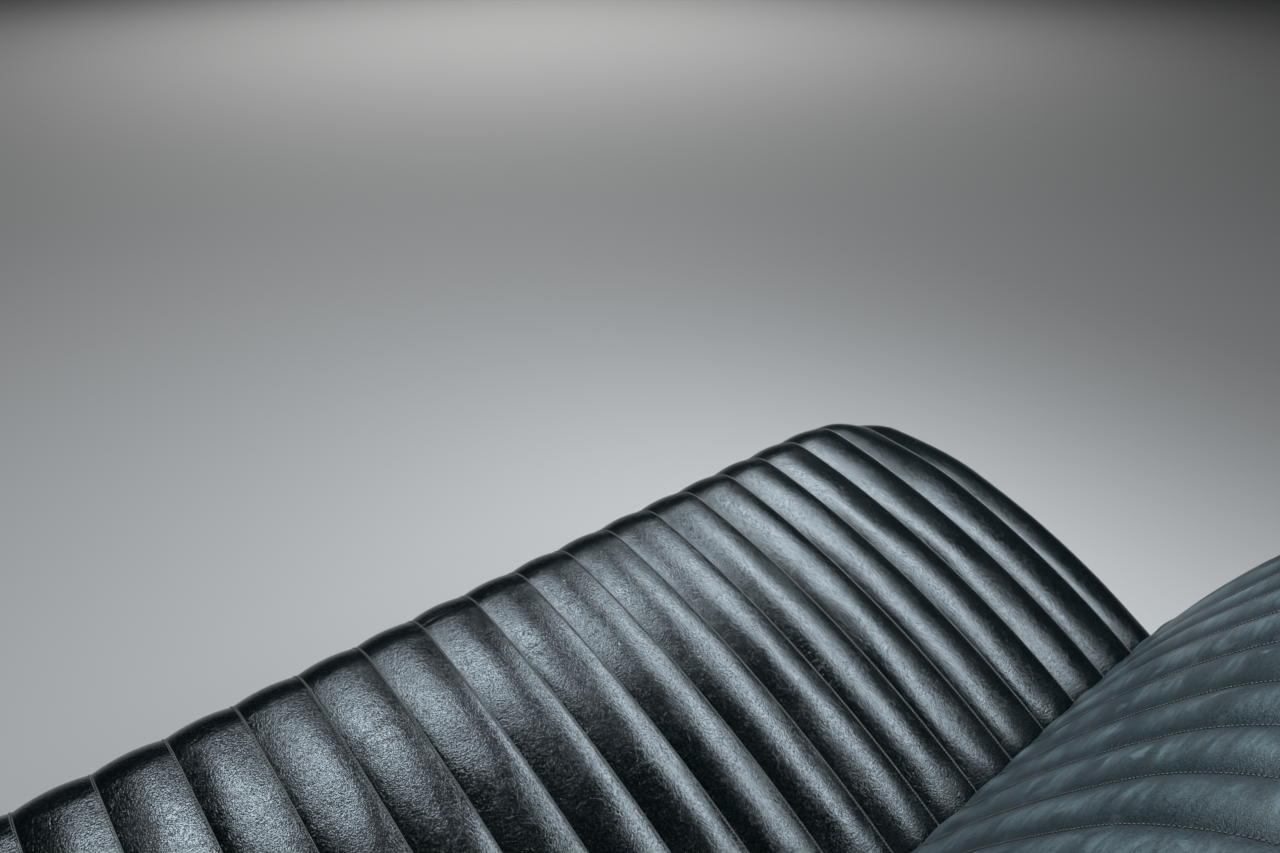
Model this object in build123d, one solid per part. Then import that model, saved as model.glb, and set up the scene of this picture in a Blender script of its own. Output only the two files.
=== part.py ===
from build123d import *
from math import cos, degrees, radians, sin
import os

# A car's front bench seat on its floor tracks, in millimetres. It faces -Y, X runs along the bench,
# and Z is up from the floor. The side view is drawn as forward and up distances from the crease
# line, where the pleats of the cushion disappear behind the pleats of the back.

# Driving dimensions of the cover
PLEAT_PITCH = 60.0
PLEAT_COUNT = 23
PLEAT_RISE = 5.0        # a roll stands this far above the two seams beside it
END_ROLL_WIDTH = 56.0
END_ROLL_CROWN = 4.0    # the middle of the last roll stands this far above its seam
END_ROLL_DROP = 16.0    # the last roll falls this far below its seam to meet the end panel
PAD_DEPTH = 26.0        # thickness of the rolls, measured down from the seams
PAD_BITE = 6.0          # the rolls are one with the stuffing below them over this depth
END_PANEL = 12.0
PANEL_STEP = 1.0        # from the end panel's outer face to the end roll's edge
WELT_RADIUS = 3.5

# Side view of the cushion, in the order in which its top runs from the rear to the front
CREASE_UP = 245.0
CREASE_FORWARD = -67.7
TOP_RADIUS = 1013.0
REAR_HEADING = 35.0     # degrees above level where the top begins, under the back
CREASE_HEADING = 30.0
TOP_LENGTH = 427.0      # from the crease line to the front roll
FRONT_RADIUS = 52.0
FRONT_HEADING = -97.0
HEM_HEIGHT = 118.0
SKIRT = 16.0            # thickness of the stuffing in front of the front rail
CORNER_SETBACKS = {"middle": 0.0, "second": 7.0, "last": 20.0}
CUSHION_ZONES = (0, 1)  # full rolls of the last and of the second zone at each end

# Side view of the back, from its lowest roll up the front, over the top and down the rear
# The back is hollow in the middle: its ends are fuller in front
BACK_START_FORWARD = {"middle": -34.0, "second": -33.0, "last": -32.0}
BACK_START_UP = 6.0
BACK_HEADING = 30.0
BACK_RADII = {
    "middle": (30.0, 1276.0, 310.0, 50.0),
    "second": (30.0, 1095.0, 292.3, 53.8),
    "last": (30.0, 963.0, 274.9, 57.6),
}
BACK_TURNS = {
    "middle": (87.0, 11.0, 24.0, 148.0),
    "second": (85.0, 13.0, 24.0, 148.0),
    "last": (83.0, 15.0, 24.0, 148.0),
}
BACK_REAR_RUNS = {"middle": 42.0, "second": 34.5, "last": 27.0}
BACK_ZONES = (3, 2)     # full rolls of the last and of the second zone at each end
REAR_PANEL = 16.0
BACK_LIFT = 13.0        # from the frame's top to the underside of the back
BACK_FOOT_FRONT = -90.0
BACK_FOOT_REAR = -150.0
BACK_TUCK_UP = -41.0

# Springs and frame
SPRING_COUNT = 11
SPRING_PITCH = 116.0
SPRING_WIRE = 2.0
SPRING_WIDTH = 46.0
SPRING_BEND = 10.5
RAIL_TOP = 152.0
RAIL_HEIGHT = 32.0
RAIL_DEPTH = 35.0
RAIL_WALL = 2.5
RAIL_INSET = 6.0        # from the end of the stuffing to the end of the rails
RAIL_CLEARANCE = 3.0    # between the front rail and the stuffing in front of it
REAR_RAIL_FORWARD = -95.0
REST_GAP = 0.15

# Floor tracks
TRACK_X = 520.0
TRACK_CENTRE_Y = -60.0
LOWER_RAIL = (46.0, 19.0, 460.0)    # width, height, length
LOWER_RAIL_FLOOR = 62.0
TRACK_WALL = 2.5
TRACK_SLOT = 18.0
SLIDER_LENGTH = 340.0
SLIDER_WEB = 5.0
SLIDER_FLANGE = (40.0, 3.0)         # width, thickness
SLIDER_TOP = 95.0
WEB_LIFT = 2.0          # from the rail's floor to the slider's web
BAR_WIDTH = 40.0
BAR_HEIGHT = 25.0
ROLLER_RADIUS = 6.5
ROLLER_PIN = 3.0
ROLLER_SPREAD = 130.0
ROLLER_PLAY = (0.5, 1.5)            # beside the slider's web, beside the rail's wall
RUNNING_GAP = 0.3
FOOT_WIDTH = 56.0
FOOT_SHEET = 4.0
GUSSET = 3.0
FOOT_BEND = 6.0
FOOT_BOLT = 33.0        # from the foot's web to its floor bolt
FOOT_RUN = 60.0
BOLT_HOLE = 5.5

# Brackets that hold the back on the rear rail
BRACKET_X = 600.0
BRACKET_WIDTH = 60.0
BRACKET_SHEET = 5.0
BRACKET_BOLT = 7.5      # from the middle of the bolt's hexagon to its corners

# Adjuster
SHAFT_RADIUS = 5.0
SHAFT_Y = -200.0
SHAFT_FIT = 0.15
PAWL_SHEET = 4.0
PAWL_CLEARANCE = 7.0    # the lifted pawl stays this far from the rail
PAWL_HUB = 11.0
NOTCH = (7.0, 8.0)      # length, height
NOTCH_PITCH = 15.0
NOTCH_COUNT = 11
LEVER_GAP = 40.0        # between the pawl and the lever's hub
LEVER_BAR = (4.0, 16.0)     # thickness, height
LEVER_FRONT_Y = -374.0
LEVER_Z = 102.0
LEVER_HUB = (9.5, 16.0)     # radius, length
LEVER_BITE = 1.0        # the lever's bar is one with its hub over this depth
KNOB_LENGTH = 24.0
KNOB_RADIUS = 10.0

# Worked out from the dimensions above
HALF_PLEATS = PLEAT_PITCH * PLEAT_COUNT / 2
HALF_COVER = HALF_PLEATS + END_ROLL_WIDTH
HALF_STUFFING = HALF_COVER - END_PANEL - PANEL_STEP
CUSHION_BASE = RAIL_TOP + 2 * SPRING_WIRE + 2 * REST_GAP
BACK_FOOT_HEIGHT = RAIL_TOP + BACK_LIFT
SHAFT_Z = SLIDER_TOP + BAR_HEIGHT / 2
CHANNEL_FLOOR = LOWER_RAIL_FLOOR + TRACK_WALL
ROLLER_Z = CHANNEL_FLOOR + RUNNING_GAP + ROLLER_RADIUS
PAWL_X = TRACK_X + LOWER_RAIL[0] / 2 + PAWL_CLEARANCE
LEVER_X = PAWL_X + PAWL_SHEET + LEVER_GAP + LEVER_HUB[1] / 2

# The seat faces -Y, so its left-hand side is at +X
SIDES = ((1, "left"), (-1, "right"))

# Side of each seam line's way on which the cover bulges: 1 is left, -1 is right
CUSHION_OUTER = 1
BACK_OUTER = -1

SIDE_VIEW = Plane(origin=(0, -CREASE_FORWARD, CREASE_UP), x_dir=(0, -1, 0), z_dir=(-1, 0, 0))


def heading(angle):
    """Direction in the side view at an angle above forward."""
    return Vector(cos(radians(angle)), sin(radians(angle)))


def forward_y(forward):
    return -CREASE_FORWARD - forward


def level(height):
    """Side view height of a height above the floor."""
    return height - CREASE_UP


def run_to_level(curve, up):
    """Straight run from a curve's end, along its end direction, to a height in the side view."""
    start, way = curve @ 1, curve % 1
    return Line(start, start + way * ((up - start.Y) / way.Y))


def reach_forward(start, way, forward):
    """Point where a straight way from start comes to a forward distance."""
    return start + way * ((forward - start.X) / way.X)


def cushion_top(setback, inset):
    """Top and front of the cushion, from rear to hem, moved inwards by inset."""
    rear_run = TOP_RADIUS * radians(REAR_HEADING - CREASE_HEADING)
    turn = degrees((TOP_LENGTH - setback + rear_run) / TOP_RADIUS)
    seam_start = TOP_RADIUS * Vector(
        sin(radians(CREASE_HEADING)) - sin(radians(REAR_HEADING)),
        cos(radians(REAR_HEADING)) - cos(radians(CREASE_HEADING)),
    )
    start = seam_start - heading(REAR_HEADING + 90) * inset
    top = JernArc(start, heading(REAR_HEADING), TOP_RADIUS - inset, -turn)
    front_turn = REAR_HEADING - turn - FRONT_HEADING
    front = JernArc(top @ 1, top % 1, FRONT_RADIUS - inset, -front_turn)
    return top + front + run_to_level(front, level(HEM_HEIGHT))


def back_front(zone, inset):
    """Front, top and upper rear of the back, from its lowest roll, moved inwards by inset."""
    start = Vector(BACK_START_FORWARD[zone], BACK_START_UP) + heading(BACK_HEADING + 90) * inset
    way = heading(BACK_HEADING)
    arcs = []
    for radius, turn in zip(BACK_RADII[zone], BACK_TURNS[zone]):
        arcs.append(JernArc(start, way, radius - inset, turn))
        start, way = arcs[-1] @ 1, arcs[-1] % 1
    return arcs[0] + arcs[1] + arcs[2] + arcs[3] + Line(start, start + way * BACK_REAR_RUNS[zone])


def closed(curve, *corners):
    """Face between a curve and the corners that lead from its end back to its start."""
    return make_face(curve + Polyline(curve @ 1, *corners, curve @ 0))


def across(face, x_from, x_to):
    """Side view face drawn out between two places along the bench."""
    solid = extrude(SIDE_VIEW * face, amount=-(x_to - x_from))
    return Pos(x_from, 0, 0) * solid


def swept(curve, section, outer):
    """Section carried along a side view curve. Section x runs along the bench and y points outwards,
    to the left of the curve's way where outer is 1 and to its right where outer is -1."""
    path = SIDE_VIEW * curve
    outward = (path % 0).cross(Vector(1, 0, 0)) * outer
    station = Plane(origin=path @ 0, x_dir=(1, 0, 0), z_dir=Vector(1, 0, 0).cross(outward))
    return sweep(station * section, path=path)


def skirt_inside():
    """Forward distance of the stuffing's inner face, behind the rounded end of its front."""
    return (cushion_top(CORNER_SETBACKS["last"], PAD_DEPTH - PAD_BITE) @ 1).X - SKIRT


def front_rail_forward():
    return skirt_inside() - RAIL_CLEARANCE


def cushion_face(setback, inset, skirt):
    """Side view outline of the cushion, with room for the frame below it where it has a skirt."""
    top = cushion_top(setback, inset)
    rear = (top @ 0).X
    if skirt:
        inner = skirt_inside()
        base = level(CUSHION_BASE)
        return closed(top, (inner, level(HEM_HEIGHT)), (inner, base), (rear, base))
    return closed(top, (rear, level(HEM_HEIGHT)))


def back_face(zone, inset):
    """Side view outline of the back."""
    front = back_front(zone, inset)
    knee = reach_forward(front @ 1, front % 1, BACK_FOOT_REAR)
    foot = level(BACK_FOOT_HEIGHT)
    return closed(
        front,
        knee,
        (BACK_FOOT_REAR, foot),
        (BACK_FOOT_FRONT, foot),
        (BACK_FOOT_FRONT, BACK_TUCK_UP),
    )


def roll_section():
    """One pleat between two seams."""
    crown = ThreePointArc((PLEAT_PITCH, 0), (PLEAT_PITCH / 2, PLEAT_RISE), (0, 0))
    return make_face(crown + Polyline((0, 0), (0, -PAD_DEPTH), (PLEAT_PITCH, -PAD_DEPTH), (PLEAT_PITCH, 0)))


def end_section():
    """The last pleat, which falls away to the welt."""
    edge = (END_ROLL_WIDTH, -END_ROLL_DROP)
    crown = ThreePointArc(edge, (END_ROLL_WIDTH / 2, END_ROLL_CROWN), (0, 0))
    return make_face(crown + Polyline((0, 0), (0, -PAD_DEPTH), (END_ROLL_WIDTH, -PAD_DEPTH), edge))


def zone_of(number, zones):
    """Zone of a full roll, counted from one end. Zones are the rolls of the two outer zones."""
    from_end = min(number, PLEAT_COUNT - 1 - number)
    last, second = zones
    if from_end < last:
        return "last"
    return "second" if from_end < last + second else "middle"


def stuffed(outline, zones):
    """Stuffing along the bench, in five stretches whose side view outline goes by the zone."""
    last, second = zones
    inner = HALF_PLEATS - (last + second) * PLEAT_PITCH
    outer = HALF_PLEATS - last * PLEAT_PITCH
    solid = across(outline("middle"), -inner, inner)
    for side in (-1, 1):
        for zone, start, stop in (("second", inner, outer), ("last", outer, HALF_STUFFING)):
            low, high = sorted((side * start, side * stop))
            solid += across(outline(zone), low, high)
    return solid


def pleated(stuffing, seam_line, outer, zones):
    """Stuffing with its rolls: full pleats along the bench and one falling pleat at each end."""
    blanks = {zone: swept(seam_line(zone), roll_section(), outer) for zone in CORNER_SETBACKS}
    end = Pos(HALF_PLEATS, 0, 0) * swept(seam_line("last"), end_section(), outer)
    rolls = [end, mirror(end, about=Plane.YZ)]
    for number in range(PLEAT_COUNT):
        rolls.append(Pos(number * PLEAT_PITCH - HALF_PLEATS, 0, 0) * blanks[zone_of(number, zones)])
    return stuffing + rolls


def cushion_pad():
    depth = PAD_DEPTH - PAD_BITE
    stuffing = stuffed(lambda zone: cushion_face(CORNER_SETBACKS[zone], depth, True), CUSHION_ZONES)
    pad = pleated(
        stuffing, lambda zone: cushion_top(CORNER_SETBACKS[zone], 0), CUSHION_OUTER, CUSHION_ZONES
    )
    return split(pad, bisect_by=Plane.XY.offset(HEM_HEIGHT), keep=Keep.TOP)


def back_pad():
    stuffing = stuffed(lambda zone: back_face(zone, PAD_DEPTH - PAD_BITE), BACK_ZONES)
    return pleated(stuffing, lambda zone: back_front(zone, 0), BACK_OUTER, BACK_ZONES)


def end_panel(face):
    return across(face, HALF_STUFFING, HALF_COVER - PANEL_STEP)


def welt(curve, outer):
    return Pos(HALF_COVER + WELT_RADIUS + RUNNING_GAP, 0, 0) * swept(curve, Circle(WELT_RADIUS), outer)


def rear_panel():
    """Plain padded panel that closes the back of the seat, below the ends of the rolls."""
    stuffing = back_front("middle", PAD_DEPTH - PAD_BITE)
    way = stuffing % 1
    outward = Vector(way.Y, -way.X)
    inner = stuffing @ 1 + way * RUNNING_GAP
    outer = inner + outward * REAR_PANEL
    foot = level(BACK_FOOT_HEIGHT)
    outline = Polyline(
        inner,
        outer,
        reach_forward(outer, way, BACK_FOOT_REAR - REAR_PANEL),
        (BACK_FOOT_REAR - REAR_PANEL, foot),
        (BACK_FOOT_REAR, foot),
        reach_forward(inner, way, BACK_FOOT_REAR),
        close=True,
    )
    return across(make_face(outline), -HALF_STUFFING, HALF_STUFFING)


def channel(width, length):
    """Pressed channel, open downwards, lying along X."""
    outside = Pos(0, 0, RAIL_TOP - RAIL_HEIGHT / 2) * Box(length, width, RAIL_HEIGHT)
    inside = Pos(0, 0, RAIL_TOP - RAIL_HEIGHT / 2 - RAIL_WALL) * Box(
        length, width - 2 * RAIL_WALL, RAIL_HEIGHT
    )
    edges = outside.edges().filter_by(Axis.X).group_by(Axis.Z)[-1]
    return fillet(edges, 2 * RAIL_WALL) - inside


def spring():
    """Zigzag spring from the front rail to the rear rail, with its end bars on the rails."""
    span = front_rail_forward() - REAR_RAIL_FORWARD
    bends = int(span / (2 * SPRING_BEND))
    half = SPRING_WIDTH / 2 - SPRING_BEND
    curve = Line((-half, 0), (half, 0))
    side = 1
    for _ in range(bends):
        bend = JernArc(curve @ 1, (side, 0), SPRING_BEND, side * 180)
        curve = curve + bend
        start = bend @ 1
        curve = curve + Line(start, start - Vector(2 * half * side, 0))
        side = -side
    section = Plane(origin=curve @ 0, z_dir=curve % 0) * Circle(SPRING_WIRE)
    return sweep(section, path=curve)


def lower_rail():
    width, height, length = LOWER_RAIL
    face = Rectangle(width, height) - Rectangle(width - 2 * TRACK_WALL, height - 2 * TRACK_WALL)
    face -= Pos(0, height / 2) * Rectangle(TRACK_SLOT, 4 * TRACK_WALL)
    solid = extrude(Plane.XZ * face, amount=length / 2, both=True)
    return Pos(0, TRACK_CENTRE_Y, LOWER_RAIL_FLOOR + height / 2) * solid


def notched_rail():
    """Lower rail with the row of notches in its outer wall that the pawl drops into."""
    length, height = NOTCH
    notch = Box(4 * TRACK_WALL, length, height)
    notches = [
        Pos(
            LOWER_RAIL[0] / 2,
            TRACK_CENTRE_Y + (number - (NOTCH_COUNT - 1) / 2) * NOTCH_PITCH,
            LOWER_RAIL_FLOOR + LOWER_RAIL[1] / 2,
        )
        * notch
        for number in range(NOTCH_COUNT)
    ]
    return lower_rail() - notches


def slider():
    web_height = SLIDER_TOP - CHANNEL_FLOOR - WEB_LIFT
    web = Pos(0, 0, SLIDER_TOP - web_height / 2) * Box(SLIDER_WEB, SLIDER_LENGTH, web_height)
    width, sheet = SLIDER_FLANGE
    flange = Pos(0, 0, SLIDER_TOP - sheet / 2) * Box(width, SLIDER_LENGTH, sheet)
    solid = web + flange
    for y in (-ROLLER_SPREAD, ROLLER_SPREAD):
        hole = Rot(0, 90, 0) * Cylinder(ROLLER_PIN + REST_GAP, 4 * SLIDER_WEB)
        solid -= Pos(0, y, ROLLER_Z) * hole
    return Pos(0, TRACK_CENTRE_Y, 0) * solid


def rollers(y):
    """Two rollers on one pin through the slider's web."""
    inner = SLIDER_WEB / 2 + ROLLER_PLAY[0]
    outer = LOWER_RAIL[0] / 2 - TRACK_WALL - ROLLER_PLAY[1]
    solid = Cylinder(ROLLER_PIN, 2 * outer)
    for side in (-1, 1):
        solid += Pos(0, 0, side * (inner + outer) / 2) * Cylinder(ROLLER_RADIUS, outer - inner)
    return Pos(0, TRACK_CENTRE_Y + y, ROLLER_Z) * Rot(0, 90, 0) * solid


def floor_foot(end):
    """Bent bracket between the floor and one end of a lower rail. End is -1 in front, 1 behind."""
    half_sheet = FOOT_SHEET / 2
    top = LOWER_RAIL_FLOOR - half_sheet
    profile = FilletPolyline(
        (-FOOT_RUN, top), (0, top), (FOOT_SHEET, half_sheet), (FOOT_RUN, half_sheet), radius=FOOT_BEND
    )
    strip = trace(profile, line_width=FOOT_SHEET)
    solid = extrude(Plane.YZ * strip, amount=FOOT_WIDTH / 2, both=True)
    solid -= Pos(0, FOOT_BOLT, 0) * Cylinder(BOLT_HOLE, 4 * FOOT_SHEET)
    for side in (-1, 1):
        gusset = make_face(Polyline((-FOOT_RUN, top), (0, top), (0, FOOT_SHEET), close=True))
        plate = extrude(Plane.YZ * gusset, amount=side * GUSSET)
        solid += Pos(side * (FOOT_WIDTH / 2 - GUSSET), 0, 0) * plate
    if end < 0:
        solid = Rot(0, 0, 180) * solid
    return Pos(0, TRACK_CENTRE_Y + end * (LOWER_RAIL[2] / 2 + FOOT_SHEET / 2), 0) * solid


def frame_bar():
    """Tube over each track that carries the front and rear rails and the adjuster shaft."""
    front, rear = forward_y(front_rail_forward()), forward_y(REAR_RAIL_FORWARD) + RAIL_DEPTH
    length = rear - front
    tube = Box(BAR_WIDTH, length, BAR_HEIGHT)
    tube -= Box(BAR_WIDTH - 2 * RAIL_WALL, length, BAR_HEIGHT - 2 * RAIL_WALL)
    tube = Pos(0, (front + rear) / 2, SLIDER_TOP + BAR_HEIGHT / 2) * tube
    hole = Cylinder(SHAFT_RADIUS + RUNNING_GAP, 2 * BAR_WIDTH)
    bore = Pos(0, SHAFT_Y, SHAFT_Z) * Rot(0, 90, 0) * hole
    return tube - bore


def back_bracket():
    """Bent bracket from the rear rail's rear face to the underside of the back."""
    rear_face = forward_y(REAR_RAIL_FORWARD) + RAIL_DEPTH
    leg = rear_face + BRACKET_SHEET / 2
    top = BACK_FOOT_HEIGHT - BRACKET_SHEET / 2
    profile = FilletPolyline(
        (leg, RAIL_TOP - RAIL_HEIGHT), (leg, top), (rear_face - RAIL_DEPTH, top), radius=2 * BRACKET_SHEET
    )
    strip = trace(profile, line_width=BRACKET_SHEET)
    solid = extrude(Plane.YZ * strip, amount=BRACKET_WIDTH / 2, both=True)
    head = extrude(Plane.XZ * RegularPolygon(BRACKET_BOLT, 6), amount=-BRACKET_SHEET)
    for side in (-1, 1):
        solid += Pos(
            side * BRACKET_WIDTH / 4, rear_face + BRACKET_SHEET, RAIL_TOP - RAIL_HEIGHT / 2
        ) * head
    return solid


def hub(radius, length):
    """Collar around the adjuster shaft, centred on its axis."""
    ring = Cylinder(radius, length) - Cylinder(SHAFT_RADIUS + SHAFT_FIT, length)
    return Pos(0, SHAFT_Y, SHAFT_Z) * Rot(0, 90, 0) * ring


def adjuster_shaft():
    inner = -PAWL_X - 2 * PAWL_SHEET
    outer = LEVER_X + LEVER_HUB[1] / 2 + PAWL_SHEET
    rod = Rot(0, 90, 0) * Cylinder(SHAFT_RADIUS, outer - inner)
    return Pos((outer + inner) / 2, SHAFT_Y, SHAFT_Z) * rod


def pawl():
    """Plate on the shaft beside the notched rail, drawn lifted off its notch."""
    tip = LOWER_RAIL_FLOOR + LOWER_RAIL[1] / 2
    blade = Polyline(
        (SHAFT_Y - PAWL_HUB, SHAFT_Z),
        (SHAFT_Y + PAWL_HUB, SHAFT_Z),
        (SHAFT_Y + 2 * PAWL_HUB, tip + PAWL_HUB),
        (SHAFT_Y + PAWL_HUB, tip),
        close=True,
    )
    face = make_face(blade) + Pos(SHAFT_Y, SHAFT_Z) * Circle(PAWL_HUB)
    face -= Pos(SHAFT_Y, SHAFT_Z) * Circle(SHAFT_RADIUS + SHAFT_FIT)
    plate = extrude(Plane.YZ * face, amount=PAWL_SHEET)
    return Pos(PAWL_X, 0, 0) * plate


def lever():
    """Flat bar from the shaft to the knob below the front hem."""
    thick, high = LEVER_BAR
    start = SHAFT_Y - LEVER_HUB[0] + LEVER_BITE
    side = Polyline(
        (start, SHAFT_Z + high / 2),
        (start, SHAFT_Z - high / 2),
        (LEVER_FRONT_Y, LEVER_Z - high / 4),
        (LEVER_FRONT_Y, LEVER_Z + high / 4),
        close=True,
    )
    bar = extrude(Plane.YZ * make_face(side), amount=thick / 2, both=True)
    return Pos(LEVER_X, 0, 0) * (hub(*LEVER_HUB) + bar)


def knob():
    """Turned knob on the end of the lever."""
    neck, head = KNOB_LENGTH * 0.6, KNOB_LENGTH * 0.4
    turned = Pos(0, 0, neck / 2) * Cone(KNOB_RADIUS * 0.6, KNOB_RADIUS, neck)
    turned += Pos(0, 0, neck + head / 2) * Cylinder(KNOB_RADIUS, head)
    turned = fillet(turned.edges().group_by(Axis.Z)[-1], head * 0.8)
    return Pos(LEVER_X, LEVER_FRONT_Y, LEVER_Z) * Rot(90, 0, 0) * turned


def cover_nodes():
    """Pads, panels and welts of the cushion and the back."""
    panel_inset = PAD_DEPTH + RUNNING_GAP
    welt_inset = PAD_DEPTH - WELT_RADIUS / 2
    cushion_seam = cushion_top(CORNER_SETBACKS["last"], welt_inset)
    ends = {
        "cushion_end": end_panel(cushion_face(CORNER_SETBACKS["last"], panel_inset, False)),
        "back_end": end_panel(back_face("last", panel_inset)),
        "cushion_welt": welt(cushion_seam, CUSHION_OUTER),
        "back_welt": welt(back_front("last", welt_inset), BACK_OUTER),
    }
    nodes = {"seat_cushion": cushion_pad(), "seat_back": back_pad(), "back_rear_panel": rear_panel()}
    for name, part in ends.items():
        nodes[f"{name}_left"] = part
        nodes[f"{name}_right"] = mirror(part, about=Plane.YZ)
    return nodes


def frame_nodes():
    """Rails under the cushion, the bars over the tracks and the brackets of the back."""
    length = 2 * (HALF_STUFFING - RAIL_INSET)
    front_y = forward_y(front_rail_forward()) + RAIL_DEPTH / 2
    rear_y = forward_y(REAR_RAIL_FORWARD) + RAIL_DEPTH / 2
    side_rail = Rot(0, 0, 90) * channel(RAIL_DEPTH, rear_y - front_y - RAIL_DEPTH)
    nodes = {
        "frame_front_rail": Pos(0, front_y, 0) * channel(RAIL_DEPTH, length),
        "frame_rear_rail": Pos(0, rear_y, 0) * channel(RAIL_DEPTH, length),
    }
    for side, name in SIDES:
        side_x = side * (length - RAIL_DEPTH) / 2
        nodes[f"frame_side_rail_{name}"] = Pos(side_x, (front_y + rear_y) / 2, 0) * side_rail
        nodes[f"frame_bar_{name}"] = Pos(side * TRACK_X, 0, 0) * frame_bar()
        nodes[f"back_bracket_{name}"] = Pos(side * BRACKET_X, 0, 0) * back_bracket()
    nodes["back_bracket_centre"] = back_bracket()
    return nodes


def spring_nodes():
    """Row of zigzag springs on the front and rear rails."""
    blank = spring()
    z = RAIL_TOP + SPRING_WIRE + REST_GAP
    y = (forward_y(front_rail_forward()) + forward_y(REAR_RAIL_FORWARD) + RAIL_DEPTH) / 2
    y -= blank.bounding_box().center().Y
    middle = (SPRING_COUNT - 1) / 2
    return {
        f"cushion_spring_{number + 1}": Pos((number - middle) * SPRING_PITCH, y, z) * blank
        for number in range(SPRING_COUNT)
    }


def track_nodes():
    """Floor rails with their feet, and the sliders and rollers that run in them."""
    nodes = {}
    rail = Pos(TRACK_X, 0, 0) * notched_rail()
    for side, name in SIDES:
        place = Pos(side * TRACK_X, 0, 0)
        nodes[f"lower_rail_{name}"] = rail if side > 0 else mirror(rail, about=Plane.YZ)
        nodes[f"slider_{name}"] = place * slider()
        for end, where in ((-1, "front"), (1, "rear")):
            nodes[f"floor_foot_{where}_{name}"] = place * floor_foot(end)
            nodes[f"rollers_{where}_{name}"] = place * rollers(end * ROLLER_SPREAD)
    return nodes


def adjuster_nodes():
    """Shaft across both tracks with its pawls, and the lever with its knob at the left-hand end."""
    return {
        "adjuster_shaft": adjuster_shaft(),
        "adjuster_pawl_left": pawl(),
        "adjuster_pawl_right": mirror(pawl(), about=Plane.YZ),
        "adjuster_lever": lever(),
        "adjuster_knob": knob(),
    }


os.makedirs("parts", exist_ok=True)
for group in (cover_nodes, frame_nodes, spring_nodes, track_nodes, adjuster_nodes):
    for node, solid in group().items():
        export_step(solid, f"parts/{node}.step")
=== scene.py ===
"""Front bench seat of a car: covers, stitching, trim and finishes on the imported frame."""

import sys
import logging
from dataclasses import dataclass, field
from enum import Enum
from math import cos, pi, radians, sin
from typing import Union

import bmesh
import bpy
import numpy as np
from mathutils import Matrix, Vector


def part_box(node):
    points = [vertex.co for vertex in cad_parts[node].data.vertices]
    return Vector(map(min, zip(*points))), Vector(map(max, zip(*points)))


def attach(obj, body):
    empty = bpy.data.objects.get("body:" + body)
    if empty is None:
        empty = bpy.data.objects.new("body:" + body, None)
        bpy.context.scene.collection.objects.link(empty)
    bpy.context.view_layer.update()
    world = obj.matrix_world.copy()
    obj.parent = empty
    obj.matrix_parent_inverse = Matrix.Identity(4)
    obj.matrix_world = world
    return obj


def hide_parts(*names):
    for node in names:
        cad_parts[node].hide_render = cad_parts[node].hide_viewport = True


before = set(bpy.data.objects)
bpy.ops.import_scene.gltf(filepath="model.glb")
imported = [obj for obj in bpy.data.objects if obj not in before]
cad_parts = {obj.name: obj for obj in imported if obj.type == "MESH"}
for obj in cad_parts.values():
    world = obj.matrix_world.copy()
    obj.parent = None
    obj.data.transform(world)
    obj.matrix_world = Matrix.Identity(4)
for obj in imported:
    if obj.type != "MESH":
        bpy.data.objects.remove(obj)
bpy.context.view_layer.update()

Value = Union[float, tuple, "Wire", bpy.types.Material]

log = logging.getLogger("bench_seat")

# Sizes shared by the covers, in metres. The side view is drawn as forward and up from the crease.
CREASE_Y = 0.0677
CREASE_Z = 0.245
PITCH = 0.060
PLEATS = 23
HALF_PLEATS = PITCH * PLEATS / 2
END_ROLL = 0.056
HALF_COVER = HALF_PLEATS + END_ROLL
HALF_STUFFING = 0.733
PAD_DEPTH = 0.026
HEM_Z = 0.118
WELT_RADIUS = 0.0035
PANEL_GAP = 0.0003
STUFFING_GAP = 0.0002
WELT_X = HALF_COVER + WELT_RADIUS + PANEL_GAP
CORNER_DRAW = 0.008
CORNER_DROOP = 0.018
CORNER_X = (0.63, 0.735)
CORNER_FORWARD = (0.25, 0.44)
CORNER_TOP = 0.03
STITCH_PITCH = 0.0033
MERGED = 1e-5

# Spacing of a cover's rows, from flat stretches to tight turns, in metres
FLAT_ROWS, PLAIN_ROWS, CURVED_ROWS, TIGHT_ROWS = 0.0095, 0.0085, 0.0055, 0.0035

SEAT = "seat"


class Wire:
    """Output socket of a node that takes part in Python expressions."""

    def __init__(self, bench: "Bench", socket: bpy.types.NodeSocket) -> None:
        """Wraps one output socket of a bench's node."""
        self.bench = bench
        self.socket = socket

    def out(self, name: str) -> "Wire":
        """Another output of the same node, by its name."""
        return Wire(self.bench, self.socket.node.outputs[name])

    def math(self, operation: str, *others: Value) -> "Wire":
        """A Math node on this value and the others."""
        inputs = dict(enumerate((self, *others)))
        return self.bench.node("ShaderNodeMath", {"operation": operation}, inputs)

    def __add__(self, other: Value) -> "Wire":
        """self + other"""
        return self.math("ADD", other)

    __radd__ = __add__

    def __sub__(self, other: Value) -> "Wire":
        """self - other"""
        return self.math("SUBTRACT", other)

    def __rsub__(self, other: Value) -> "Wire":
        """other - self"""
        return self.bench.node("ShaderNodeMath", {"operation": "SUBTRACT"}, {0: other, 1: self})

    def __mul__(self, other: Value) -> "Wire":
        """self * other"""
        return self.math("MULTIPLY", other)

    __rmul__ = __mul__

    def sin(self) -> "Wire":
        """Sine of this value in radians."""
        return self.math("SINE")

    def ramp(self, low: float, high: float) -> "Wire":
        """0 below low, 1 above high and smooth between them. Low may be the larger one."""
        inputs = {"Value": self, "From Min": low, "From Max": high}
        settings = {"interpolation_type": "SMOOTHSTEP"}
        return self.bench.node("ShaderNodeMapRange", settings, inputs)


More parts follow.
